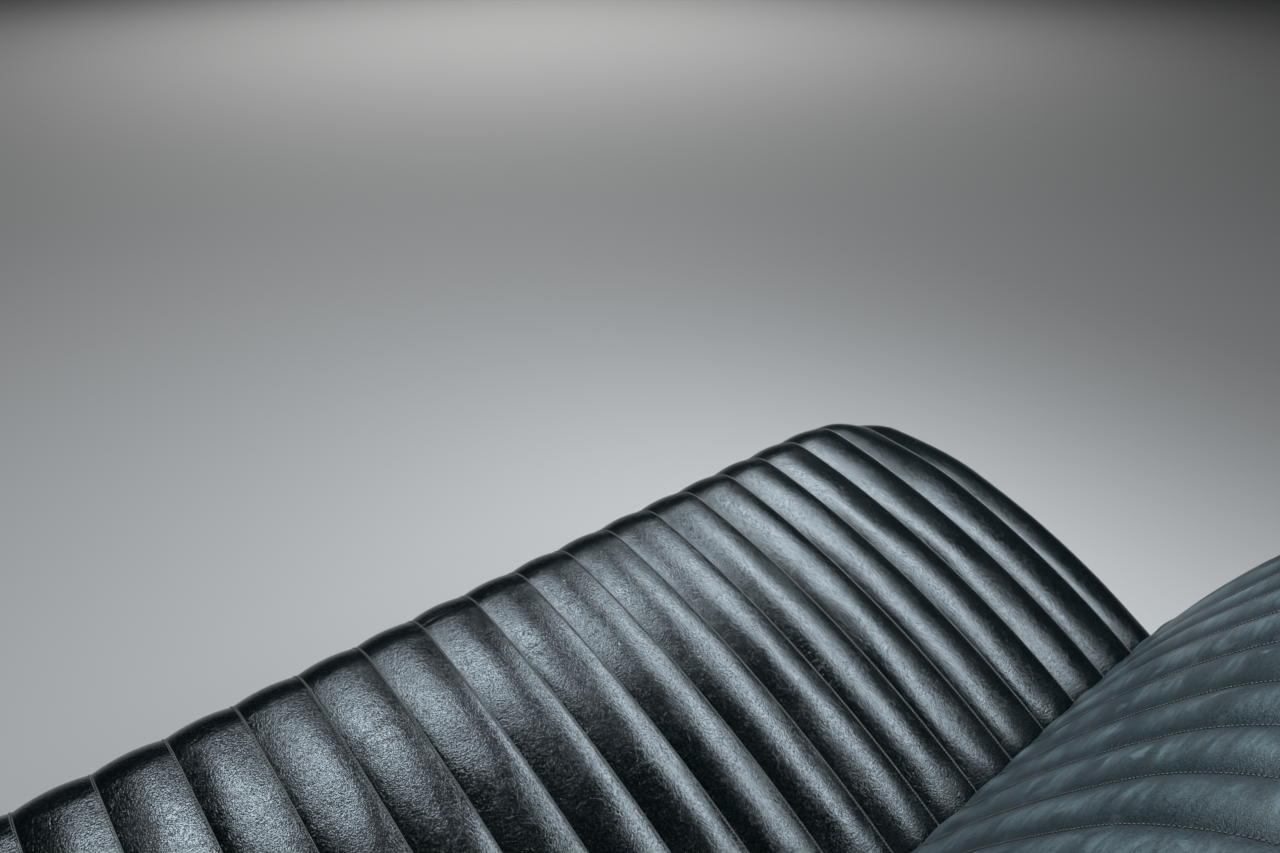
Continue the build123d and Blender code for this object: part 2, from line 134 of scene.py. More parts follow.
class Bench:
    """Node tree in the making: adds nodes, sets them and feeds their sockets."""

    def __init__(self, tree: bpy.types.NodeTree) -> None:
        """Works on an empty tree."""
        self.tree = tree

    def feed(self, socket: bpy.types.NodeSocket, value: Value) -> None:
        """Links a wire to a socket, or sets the socket's own value."""
        if isinstance(value, Wire):
            self.tree.links.new(value.socket, socket)
        elif socket.type == "RGBA" and len(value) == 3:
            socket.default_value = (*value, 1.0)
        else:
            socket.default_value = value

    def node(self, kind: str, settings: dict | None = None, inputs: dict | None = None) -> Wire:
        """Adds a node.

        Args:
            kind: The node's type.
            settings: Properties to set first.
            inputs: Values or wires by the socket's name or number.

        Returns:
            The node's first available output.
        """
        node = self.tree.nodes.new(kind)
        for name, value in (settings or {}).items():
            setattr(node, name, value)
        for key, value in (inputs or {}).items():
            self.feed(node.inputs[key], value)
        outputs = [socket for socket in node.outputs if socket.enabled]
        return Wire(self, outputs[0]) if outputs else Wire(self, node.inputs[0])

    @property
    def place(self) -> Wire:
        """Place on the object, in metres."""
        return self.node("ShaderNodeTexCoord").out("Object")

    def mix(self, factor: Value, first: Value, second: Value, blend: str = "MIX") -> Wire:
        """Mix of two colours."""
        settings = {"data_type": "RGBA", "blend_type": blend}
        mixed = self.node("ShaderNodeMix", settings, {0: factor, 6: first, 7: second})
        return Wire(self, mixed.socket.node.outputs[2])

    def scaled(self, vector: Value, scale: tuple) -> Wire:
        """Vector with each part multiplied."""
        return self.node("ShaderNodeVectorMath", {"operation": "MULTIPLY"}, {0: vector, 1: scale})

    def noise(self, vector: Value, scale: float, detail: float = 2.0, distortion: float = 0.0) -> Wire:
        """Noise between 0 and 1, with so many waves per metre."""
        inputs = {"Vector": vector, "Scale": scale, "Detail": detail, "Distortion": distortion}
        return self.node("ShaderNodeTexNoise", {}, inputs)

    def cells(self, vector: Value, scale: float, feature: str = "DISTANCE_TO_EDGE") -> Wire:
        """Distance to the edge or the middle of cells, with so many cells per metre."""
        return self.node("ShaderNodeTexVoronoi", {"feature": feature}, {"Vector": vector, "Scale": scale})

    def ridges(self, waves: Wire, width: float) -> Wire:
        """Thin lines where a noise crosses its middle: 1 on a line and 0 off it."""
        return (waves - 0.5).math("ABSOLUTE").ramp(width, 0.0)

    def parts(self, vector: Value) -> tuple[Wire, Wire, Wire]:
        """The three parts of a vector."""
        split = self.node("ShaderNodeSeparateXYZ", {}, {0: vector})
        return split.out("X"), split.out("Y"), split.out("Z")

    def bump(self, height: Value) -> Wire:
        """Normal of a height in metres."""
        return self.node("ShaderNodeBump", {}, {"Strength": 1.0, "Distance": 1.0, "Height": height})


@dataclass(frozen=True)
class Finish:
    """Base of the finishes. A finish makes its material once and hands it out."""

    name: str

    def material(self) -> bpy.types.Material:
        """The finish's material."""
        if self.name not in bpy.data.materials:
            made = bpy.data.materials.new(self.name)
            made.use_nodes = True
            made.node_tree.nodes.clear()
            bench = Bench(made.node_tree)
            shader = bench.node("ShaderNodeBsdfPrincipled")
            bench.node("ShaderNodeOutputMaterial", {}, {"Surface": shader})
            for socket, value in self.sockets(bench).items():
                bench.feed(shader.socket.node.inputs[socket], value)
        return bpy.data.materials[self.name]

    def sockets(self, bench: Bench) -> dict[str, Value]:
        """Values and wires for the shader's sockets, by name."""
        raise NotImplementedError


@dataclass(frozen=True)
class Leather(Finish):
    """Grained and polished cover leather, with fine wrinkles, faint scuffs and painted glints on the grain.

    Grain, pebble and wrinkle are heights in metres, and scales are waves or cells per metre.
    """

    colour: tuple = (0.0008, 0.0042, 0.0052)
    # Worn colour and how strongly wear lightens towards it; on the back both paint in sheen
    worn_and_sheen: tuple = (0.0040, 0.0085, 0.0095)
    patina_and_sheen: float = 0.35
    roughness: float = 0.19
    specular: float = 1.0
    grain: float = 0.00005
    pebble: float = 0.00020
    wrinkle: float = 0.00017
    # Colour of the painted glints: lighter specks on the pebble tops
    painted_glints: tuple = (0.016, 0.022, 0.024)
    tint: tuple = (0.84, 0.95, 1.0, 1.0)
    pore_scale: float = 520.0
    pebble_scale: float = 540.0
    fold_scale: float = 62.0
    ridge_scale: float = 90.0
    blotch_scale: float = 15.0
    wear_scale: float = 38.0

    def surface(self, bench: Bench, place: Wire) -> tuple[Wire, Wire, Wire, Wire]:
        """Patterns that every leather piece has.

        Args:
            bench: The material's node tree.
            place: Coordinates in metres.

        Returns:
            Height in metres, wear (which on the back also places painted sheen), blotches and pebbles, the
            last three between 0 and 1.
        """
        pores = bench.cells(place, self.pore_scale).ramp(0.0, 0.30)
        pebbles = bench.noise(place, self.pebble_scale, 3.0, 0.15)
        folds = bench.noise(place, self.fold_scale, 4.0, 0.6)
        ridges = bench.ridges(bench.noise(place, self.ridge_scale, 3.0, 0.9), 0.05)
        blotches = bench.noise(place, self.blotch_scale, 4.0)
        wear_and_sheen = bench.noise(place, self.wear_scale, 5.0, 0.3).ramp(0.55, 0.75)
        height = self.grain * pores + self.pebble * pebbles + self.wrinkle * (folds - ridges * 0.3)
        return height, wear_and_sheen, blotches, pebbles

    def finished(
        self, bench: Bench, height: Value, wear_and_sheen: Wire, blotches: Wire, pebbles: Wire
    ) -> dict[str, Value]:
        """Shader sockets from the patterns. Lighter specks painted on the pebble tops stand in for glints,
        and the pits shine less.
        """
        # Wear lightens the colour; on the back's pale copy this lightening is painted sheen
        colour = bench.mix(wear_and_sheen * self.patina_and_sheen + blotches * 0.2, self.colour, self.worn_and_sheen)
        return {
            # Painted glints: lighter specks added on the pebble tops
            "Base Color": bench.mix(pebbles.ramp(0.52, 0.74), colour, self.painted_glints, "ADD"),
            "Metallic": pebbles.ramp(0.50, 0.34) * 0.5,
            "Roughness": self.roughness + blotches * 0.20 + pebbles * 0.16 + wear_and_sheen * 0.06 - 0.18,
            "Normal": bench.bump(height),
            "Specular IOR Level": self.specular,
            "Specular Tint": self.tint,
        }

    def sockets(self, bench: Bench) -> dict[str, Value]:
        """Plain leather, patterned by its place on the object."""
        return self.finished(bench, *self.surface(bench, bench.place))


@dataclass(frozen=True)
class PleatedLeather(Leather):
    """Leather of the pleats: puckers along the seams, creases across the rolls.

    Pucker and crease are heights in metres; the painted sheen field says how strongly a painted sheen
    lightens the crowns and leaves the valleys darker.
    Near and far are pairs of distances from the seam, and scales are per metre of the map.
    """

    pucker: float = 0.00003
    crease: float = 0.00012
    painted_sheen: float = 0.0
    near: tuple = (0.007, 0.001)
    far: tuple = (0.004, 0.028)
    crease_scale: tuple = (16.0, 90.0, 0.0)
    drift_scale: tuple = (9.0, 26.0, 0.0)
    streak_scale: tuple = (45.0, 190.0, 0.0)

    def sockets(self, bench: Bench) -> dict[str, Value]:
        """Leather whose folds follow the cover's own map: across the bench, then along the pleats."""
        height, wear_and_sheen, blotches, pebbles = self.surface(bench, bench.place)
        cover = bench.node("ShaderNodeUVMap", {"uv_map": "cover"})
        across, along, _ = bench.parts(cover)
        from_seam = (across + HALF_PLEATS).math("PINGPONG", PITCH / 2)
        near = from_seam.ramp(*self.near)
        wander = bench.noise(cover, 45.0, 2.0)
        puckers = ((along + wander * 0.004) * (2 * pi / STITCH_PITCH)).sin() * near
        creases = bench.noise(bench.scaled(cover, self.crease_scale), 1.0, 3.0, 1.2)
        lines = bench.ridges(creases, 0.05)
        patches = bench.noise(cover, 13.0, 2.0).ramp(0.50, 0.75)
        height = height + self.pucker * puckers - self.crease * lines * patches
        crown = from_seam.ramp(*self.far)
        # Wear is drawn to the crowns of the rolls; on the back this also paints sheen on the crowns and shade
        # in the valleys
        wear_and_sheen = (wear_and_sheen * (0.35 + 0.65 * crown)).math("MAXIMUM", lines * patches * 0.2)
        # Painted sheen: pale cloudy streaks, strong on the crowns and faint in the valleys, stand in for soft
        # reflections and valley shade
        if self.painted_sheen:
            drifting = bench.noise(bench.scaled(cover, self.drift_scale), 1.0, 4.0, 0.8).ramp(0.33, 0.66)
            streaks = bench.noise(bench.scaled(cover, self.streak_scale), 1.0, 3.0, 0.5).ramp(0.30, 0.72)
            painted_sheen = (0.15 + 0.85 * drifting) * (0.45 + 0.75 * streaks)
            wear_and_sheen = wear_and_sheen.math("MAXIMUM", painted_sheen * (0.06 + 0.94 * crown) * self.painted_sheen)
        return self.finished(bench, height, wear_and_sheen, blotches, pebbles)


@dataclass(frozen=True)
class Burlap(Finish):
    """Woven jute that closes the stuffing below and behind."""

    colour: tuple = (0.185, 0.125, 0.068)
    dark: tuple = (0.065, 0.042, 0.022)
    pitch: float = 0.0023

    def sockets(self, bench: Bench) -> dict[str, Value]:
        """Plain weave with uneven yarns."""
        place = bench.place
        x, y, z = bench.parts(place)
        wander = bench.noise(place, 60.0, 2.0) * 0.0022
        warp = ((x + wander) * (2 * pi / self.pitch)).sin()
        weft = ((y + z + wander) * (2 * pi / self.pitch)).sin()
        weave = warp * weft * 0.5 + 0.5
        stain = bench.noise(place, 7.0, 4.0)
        colour = bench.mix(weave * 0.6 + stain * 0.45, self.dark, self.colour)
        return {
            "Base Color": colour,
            "Roughness": 0.88 + stain * 0.08,
            "Normal": bench.bump(weave * 0.00035),
        }


@dataclass(frozen=True)
class Thread(Finish):
    """Waxed sewing thread."""

    colour: tuple = (0.190, 0.195, 0.190)

    def sockets(self, bench: Bench) -> dict[str, Value]:
        """Twisted strands."""
        place = bench.place
        strands = bench.noise(place, 1800.0, 2.0)
        return {
            "Base Color": bench.mix(strands, self.colour, tuple(1.7 * c for c in self.colour)),
            "Roughness": 0.5 + strands * 0.2,
            "Normal": bench.bump(strands * 0.00012),
        }


@dataclass(frozen=True)
class PaintedSteel(Finish):
    """Semi-matt paint on pressed steel, dusty, with chips down to the metal and a little rust."""

    colour: tuple = (0.030, 0.032, 0.035)
    dusty: tuple = (0.085, 0.080, 0.072)
    metal: tuple = (0.30, 0.29, 0.28)
    rust: tuple = (0.115, 0.045, 0.018)

    def sockets(self, bench: Bench) -> dict[str, Value]:
        """Paint, chips, rust and dust."""
        place = bench.place
        orange_peel = bench.noise(place, 420.0, 2.0)
        dust = bench.noise(place, 14.0, 5.0)
        flaking = bench.noise(place, 130.0, 6.0, 0.4)
        chips, rim = flaking.ramp(0.685, 0.70), flaking.ramp(0.64, 0.70)
        paint = bench.mix(dust.ramp(0.35, 0.75) * 0.45, self.colour, self.dusty)
        rusty = bench.mix(rim * 0.8, paint, self.rust)
        return {
            "Base Color": bench.mix(chips, rusty, self.metal),
            "Metallic": chips * 0.8,
            "Roughness": 0.42 + dust * 0.25 + rim * 0.2,
            "Normal": bench.bump(orange_peel * 0.00003 - chips * 0.00008),
        }


@dataclass(frozen=True)
class PlatedSteel(Finish):
    """Zinc-plated steel with drawn lines along the travel, grease and rust freckles."""

    colour: tuple = (0.46, 0.45, 0.42)
    grease: tuple = (0.045, 0.038, 0.030)
    rust: tuple = (0.17, 0.075, 0.030)

    def sockets(self, bench: Bench) -> dict[str, Value]:
        """Drawn metal under patches of grease."""
        place = bench.place
        drawn = bench.noise(bench.scaled(place, (1.0, 0.03, 1.0)), 900.0, 2.0)
        film = bench.noise(place, 24.0, 5.0, 0.3).ramp(0.45, 0.72)
        freckles = bench.noise(place, 210.0, 4.0).ramp(0.62, 0.72)
        spangle = bench.cells(place, 160.0, "F1")
        colour = bench.mix(spangle * 0.5, self.colour, tuple(0.72 * c for c in self.colour))
        colour = bench.mix(freckles * 0.7, colour, self.rust)
        return {
            "Base Color": bench.mix(film * 0.75, colour, self.grease),
            "Metallic": 1.0 - (freckles * 0.7).math("MAXIMUM", film * 0.8),
            "Roughness": 0.30 + drawn * 0.16 + film * 0.12 + freckles * 0.25,
            "Normal": bench.bump(drawn * 0.00003 + freckles * 0.00005),
        }


@dataclass(frozen=True)
class SpringSteel(Finish):
    """Spring wire under a thin black dip."""

    colour: tuple = (0.022, 0.021, 0.020)
    metal: tuple = (0.16, 0.15, 0.14)

    def sockets(self, bench: Bench) -> dict[str, Value]:
        """Dip with drawn wire showing through."""
        place = bench.place
        bare = bench.noise(place, 75.0, 5.0, 0.5).ramp(0.52, 0.68)
        scale = bench.noise(place, 600.0, 2.0)
        return {
            "Base Color": bench.mix(bare * 0.7, self.colour, self.metal),
            "Metallic": 0.25 + bare * 0.55,
            "Roughness": 0.38 + scale * 0.2,
            "Normal": bench.bump(scale * 0.00003),
        }


@dataclass(frozen=True)
class Moulded(Finish):
    """Black moulded knob, polished by the hand at its end."""

    colour: tuple = (0.010, 0.010, 0.011)
    bloomed: tuple = (0.028, 0.027, 0.026)

    def sockets(self, bench: Bench) -> dict[str, Value]:
        """Polish, scratches and a faint bloom."""
        place = bench.place
        scratches = bench.noise(bench.scaled(place, (3.0, 0.4, 3.0)), 500.0, 3.0).ramp(0.55, 0.75)
        bloom = bench.noise(place, 90.0, 3.0)
        return {
            "Base Color": bench.mix(bloom * 0.5, self.colour, self.bloomed),
            "Roughness": 0.18 + bloom * 0.16 + scratches * 0.15,
            "Normal": bench.bump(scratches * 0.00001),
        }


@dataclass(frozen=True)
class StudioFloor(Finish):
    """Pale matt floor."""

    colour: tuple = (0.78, 0.78, 0.77)

    def sockets(self, bench: Bench) -> dict[str, Value]:
        """Almost even, faintly mottled."""
        place = bench.place
        mottle = bench.noise(place, 3.0, 3.0)
        return {
            "Base Color": bench.mix(mottle * 0.15, self.colour, tuple(0.94 * c for c in self.colour)),
            "Roughness": 0.75,
        }


class Finishes(Enum):
    """The finishes of the seat."""

    PLEATS = PleatedLeather("pleated_leather")
    PLAIN = Leather("plain_leather", roughness=0.38, specular=0.6)
    # The back is a paler copy of the pleated leather: its light colours and high patina paint in the soft
    # sheen of light that the back reflects at grazing angles
    BACK_PLEATS = PleatedLeather(
        "back_leather_painted_sheen",
        (0.0075, 0.0180, 0.0225),
        (0.150, 0.225, 0.245),
        patina_and_sheen=0.9,
        roughness=0.40,
        specular=0.4,
        painted_sheen=0.9,
    )
    # Pale seam folds: a painted highlight along each seam of the cushion
    EDGE = Leather("painted_seam_highlight", (0.150, 0.165, 0.168), (0.270, 0.285, 0.285), roughness=0.45, specular=0.5)
    WELT = Leather("welt_leather", (0.004, 0.004, 0.004), (0.030, 0.024, 0.018), roughness=0.46, specular=0.5)
    BURLAP = Burlap("burlap")
    THREAD = Thread("thread")
    PAINT = PaintedSteel("painted_steel")
    PLATED = PlatedSteel("plated_steel")
    SPRING = SpringSteel("spring_wire")
    KNOB = Moulded("moulded_knob")
    FLOOR = StudioFloor("studio_floor")

    @property
    def material(self) -> bpy.types.Material:
        """The finish's material."""
        return self.value.material()


def unit(heading: np.ndarray) -> np.ndarray:
    """Directions in the side view at headings in radians above forward."""
    return np.stack([np.cos(heading), np.sin(heading)], axis=-1)


def smooth_step(value: np.ndarray, low: float, high: float) -> np.ndarray:
    """0 below low, 1 above high and smooth between them."""
    share = np.clip((value - low) / (high - low), 0.0, 1.0)
    return share * share * (3 - 2 * share)


def placed(side_view: np.ndarray, x: np.ndarray) -> np.ndarray:
    """Side view points, forward and up from the crease, as places in the seat's frame.

    The front corners of the cushion are drawn in and down, so that they are rounded.
    """
    forward, up = side_view[..., 0], side_view[..., 1]
    x = np.broadcast_to(x, forward.shape)
    corner = smooth_step(np.abs(x), *CORNER_X) * smooth_step(forward, *CORNER_FORWARD)
    up = up - CORNER_DROOP * corner * smooth_step(up, HEM_Z - CREASE_Z, CORNER_TOP)
    return np.stack([x - np.sign(x) * CORNER_DRAW * corner, CREASE_Y - forward, CREASE_Z + up], axis=-1)


@dataclass(frozen=True)
class Bend:
    """Arc of a side view line. It turns until its heading, in degrees above forward."""

    radius: float
    heading: float
    step: float
    yields: bool = False


@dataclass(frozen=True)
class Straight:
    """Straight stretch of a side view line, of a length or as far as a level."""

    step: float
    length: float = 0.0
    level: float | None = None


@dataclass(frozen=True)
class SideLine:
    """Line in the side view that the seams follow."""

    start: tuple[float, float]
    heading: float
    stretches: tuple
    outer: int

    def trace(
        self, setback: np.ndarray, counts: np.ndarray | None = None
    ) -> tuple[np.ndarray, np.ndarray, np.ndarray, np.ndarray]:
        """Follows the line once for each column of the cover.

        Args:
            setback: How much shorter each column's yielding arc is, in metres.
            counts: Rows on each stretch, where they aren't to go by its length.

        Returns:
            Points and outward directions as rows x columns x 2, the rows' distances along the
            line and the number of the stretch that each row belongs to.
        """
        count = len(setback)
        at = np.tile(np.array(self.start), (count, 1))
        heading = np.full(count, radians(self.heading))
        points, normals, distances, owners = [], [], [], []
        travelled = 0.0
        for number, stretch in enumerate(self.stretches):
            if isinstance(stretch, Bend):
                turn = radians(stretch.heading) - heading
                if stretch.yields:
                    turn = turn - np.sign(turn) * setback / stretch.radius
                length = float(np.abs(turn).max()) * stretch.radius
            else:
                turn = np.zeros(count)
                run = np.full(count, stretch.length)
                if stretch.level is not None:
                    run = (stretch.level - at[:, 1]) / np.sin(heading)
                length = float(run.max())
            last = number == len(self.stretches) - 1
            rows = max(2, int(round(length / stretch.step))) if counts is None else int(counts[number]) - last
            side = np.sign(turn)[:, None]
            centre = at + side * stretch.radius * unit(heading + pi / 2) if isinstance(stretch, Bend) else at
            for row in range(rows + last):
                share = row / rows
                now = heading + turn * share
                if isinstance(stretch, Bend):
                    points.append(centre - side * stretch.radius * unit(now + pi / 2))
                else:
                    points.append(at + unit(heading) * (run * share)[:, None])
                normals.append(self.outer * unit(now + pi / 2))
                distances.append(travelled + length * share)
                owners.append(number)
            if isinstance(stretch, Bend):
                at = centre - side * stretch.radius * unit(heading + turn + pi / 2)
                heading = heading + turn
            else:
                at = at + unit(heading) * run[:, None]
            travelled += length
        return np.array(points), np.array(normals), np.array(distances), np.array(owners)


@dataclass(frozen=True)
class HollowLine:
    """Side line that stands fuller at the ends of the bench than in the middle."""

    middle: SideLine
    ends: SideLine

    @property
    def outer(self) -> int:
        """Side of the line's way on which the cover bulges: 1 is left, -1 is right."""
        return self.middle.outer

    def trace(self, fullness: np.ndarray) -> tuple[np.ndarray, np.ndarray, np.ndarray, np.ndarray]:
        """Follows the line once for each column of the cover.

        Args:
            fullness: 0 for a column like those in the middle, 1 for one like those at the ends.

        Returns:
            The same as a side line's trace.
        """
        plain = np.zeros(len(fullness))
        points, normals, distances, owners = self.middle.trace(plain)
        end_points, end_normals = self.ends.trace(plain, np.bincount(owners))[:2]
        share = fullness[None, :, None]
        normals = normals * (1 - share) + end_normals * share
        normals = normals / np.linalg.norm(normals, axis=2, keepdims=True)
        return points * (1 - share) + end_points * share, normals, distances, owners


def mesh_from(name: str, vertices: np.ndarray, faces: list, finishes: list[Finishes]) -> bpy.types.Mesh:
    """Smooth-shaded mesh with its materials."""
    mesh = bpy.data.meshes.new(name)
    mesh.from_pydata(np.asarray(vertices, float).tolist(), [], faces)
    for finish in finishes:
        mesh.materials.append(finish.material)
    mesh.shade_smooth()
    return mesh


def shown(name: str, mesh: bpy.types.Mesh) -> bpy.types.Object:
    """Object of a mesh, in the scene."""
    piece = bpy.data.objects.new(name, mesh)
    bpy.context.scene.collection.objects.link(piece)
    return piece


def evaluated(piece: bpy.types.Object) -> bpy.types.Mesh:
    """Plain mesh of what a piece's modifiers make of it."""
    graph = bpy.context.evaluated_depsgraph_get()
    return bpy.data.meshes.new_from_object(piece.evaluated_get(graph), depsgraph=graph)


def settle(piece: bpy.types.Object) -> bpy.types.Object:
    """Turns a piece's modifiers into its own plain mesh."""
    mesh = evaluated(piece)
    piece.modifiers.clear()
    piece.data = mesh
    mesh.name = piece.name
    return piece


def subdivided(piece: bpy.types.Object) -> bpy.types.Object:
    """Plain mesh of a piece after one smoothing subdivision."""
    smooth = piece.modifiers.new("smooth", "SUBSURF")
    smooth.levels = smooth.render_levels = 1
    return settle(piece)


def grid_faces(rows: int, count: int) -> list[tuple[int, ...]]:
    """Faces between the neighbouring rows and columns of a grid of places."""
    return [
        (r * count + c, r * count + c + 1, (r + 1) * count + c + 1, (r + 1) * count + c)
        for r in range(rows - 1)
        for c in range(count - 1)
    ]


def positions(mesh: bpy.types.Mesh) -> np.ndarray:
    """Vertex places of a mesh."""
    flat = np.empty(3 * len(mesh.vertices))
    mesh.vertices.foreach_get("co", flat)
    return flat.reshape(-1, 3)


def outwards(mesh: bpy.types.Mesh) -> None:
    """Merges doubles, drops what they leave and turns the faces outwards."""
    work = bmesh.new()
    work.from_mesh(mesh)
    bmesh.ops.remove_doubles(work, verts=work.verts, dist=MERGED)
    bmesh.ops.recalc_face_normals(work, faces=work.faces)
    work.to_mesh(mesh)
    work.free()
    mesh.update()


def hand_over(piece: bpy.types.Object, slot: str, *nodes: str, fill: float | None = None) -> None:
    """Attaches a finished piece to its body, hides the CAD nodes that it stands for and logs its face count.

    Args:
        piece: The finished piece, with plain mesh data.
        slot: Not used.
        nodes: CAD nodes that the piece replaces.
        fill: Not used.
    """
    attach(piece, SEAT)
    if nodes:
        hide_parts(*nodes)
    log.info("%s: %d faces", piece.name, len(piece.data.polygons))


@dataclass(frozen=True)
class Inflation:
    """Cloth simulation that puffs a cover up over its stuffing."""

    pressure: float = 0.9
    slack: float = 0.002
    cap: float = 0.0014
    frames: int = 20
    calming: int = 18
    lively: float = 0.15

    def puff(self, sheet: np.ndarray, faces: list, sewn: np.ndarray) -> np.ndarray:
        """Runs the simulation on a copy, and calms what it does along the columns.

        Args:
            sheet: Places before the simulation, rows x columns x 3.
            faces: The mesh's faces.
            sewn: For each place, whether it's held by a seam or a hem.

        Returns:
            Places afterwards, none further from where it was than the cap.
        """
        vertices = sheet.reshape(-1, 3)
        mesh = bpy.data.meshes.new("puffing")
        mesh.from_pydata(vertices.tolist(), [], faces)
        piece = shown("puffing", mesh)
        group = piece.vertex_groups.new(name="sewn")
        group.add(np.flatnonzero(sewn.ravel()).tolist(), 1.0, "REPLACE")
        cloth = piece.modifiers.new("cloth", "CLOTH")
        settings = cloth.settings
        settings.quality = 5
        settings.mass = 0.25
        settings.tension_stiffness = 35.0
        settings.compression_stiffness = 35.0
        settings.shear_stiffness = 12.0
        settings.bending_stiffness = 1.5
        settings.air_damping = 4.0
        settings.use_pressure = True
        settings.uniform_pressure_force = self.pressure
        settings.shrink_min = -self.slack
        settings.effector_weights.gravity = 0.0
        settings.vertex_group_mass = "sewn"
        cloth.collision_settings.use_collision = False
        cloth.point_cache.frame_start = 1
        cloth.point_cache.frame_end = self.frames
        for frame_number in range(1, self.frames + 1):
            bpy.context.scene.frame_set(frame_number)
        moved = positions(evaluated(piece))
        bpy.data.objects.remove(piece)
        bpy.context.scene.frame_set(1)
        shift = (moved - vertices).reshape(sheet.shape)
        reach = np.linalg.norm(shift, axis=2, keepdims=True)
        shift = shift * np.minimum(1.0, self.cap / np.maximum(reach, 1e-9))
        calm = shift
        for _ in range(self.calming):
            longer = np.concatenate([calm[:1], calm, calm[-1:]])
            calm = (longer[:-2] + 2 * calm + longer[2:]) / 4
        return sheet + (calm + (shift - calm) * self.lively) * ~sewn[..., None]


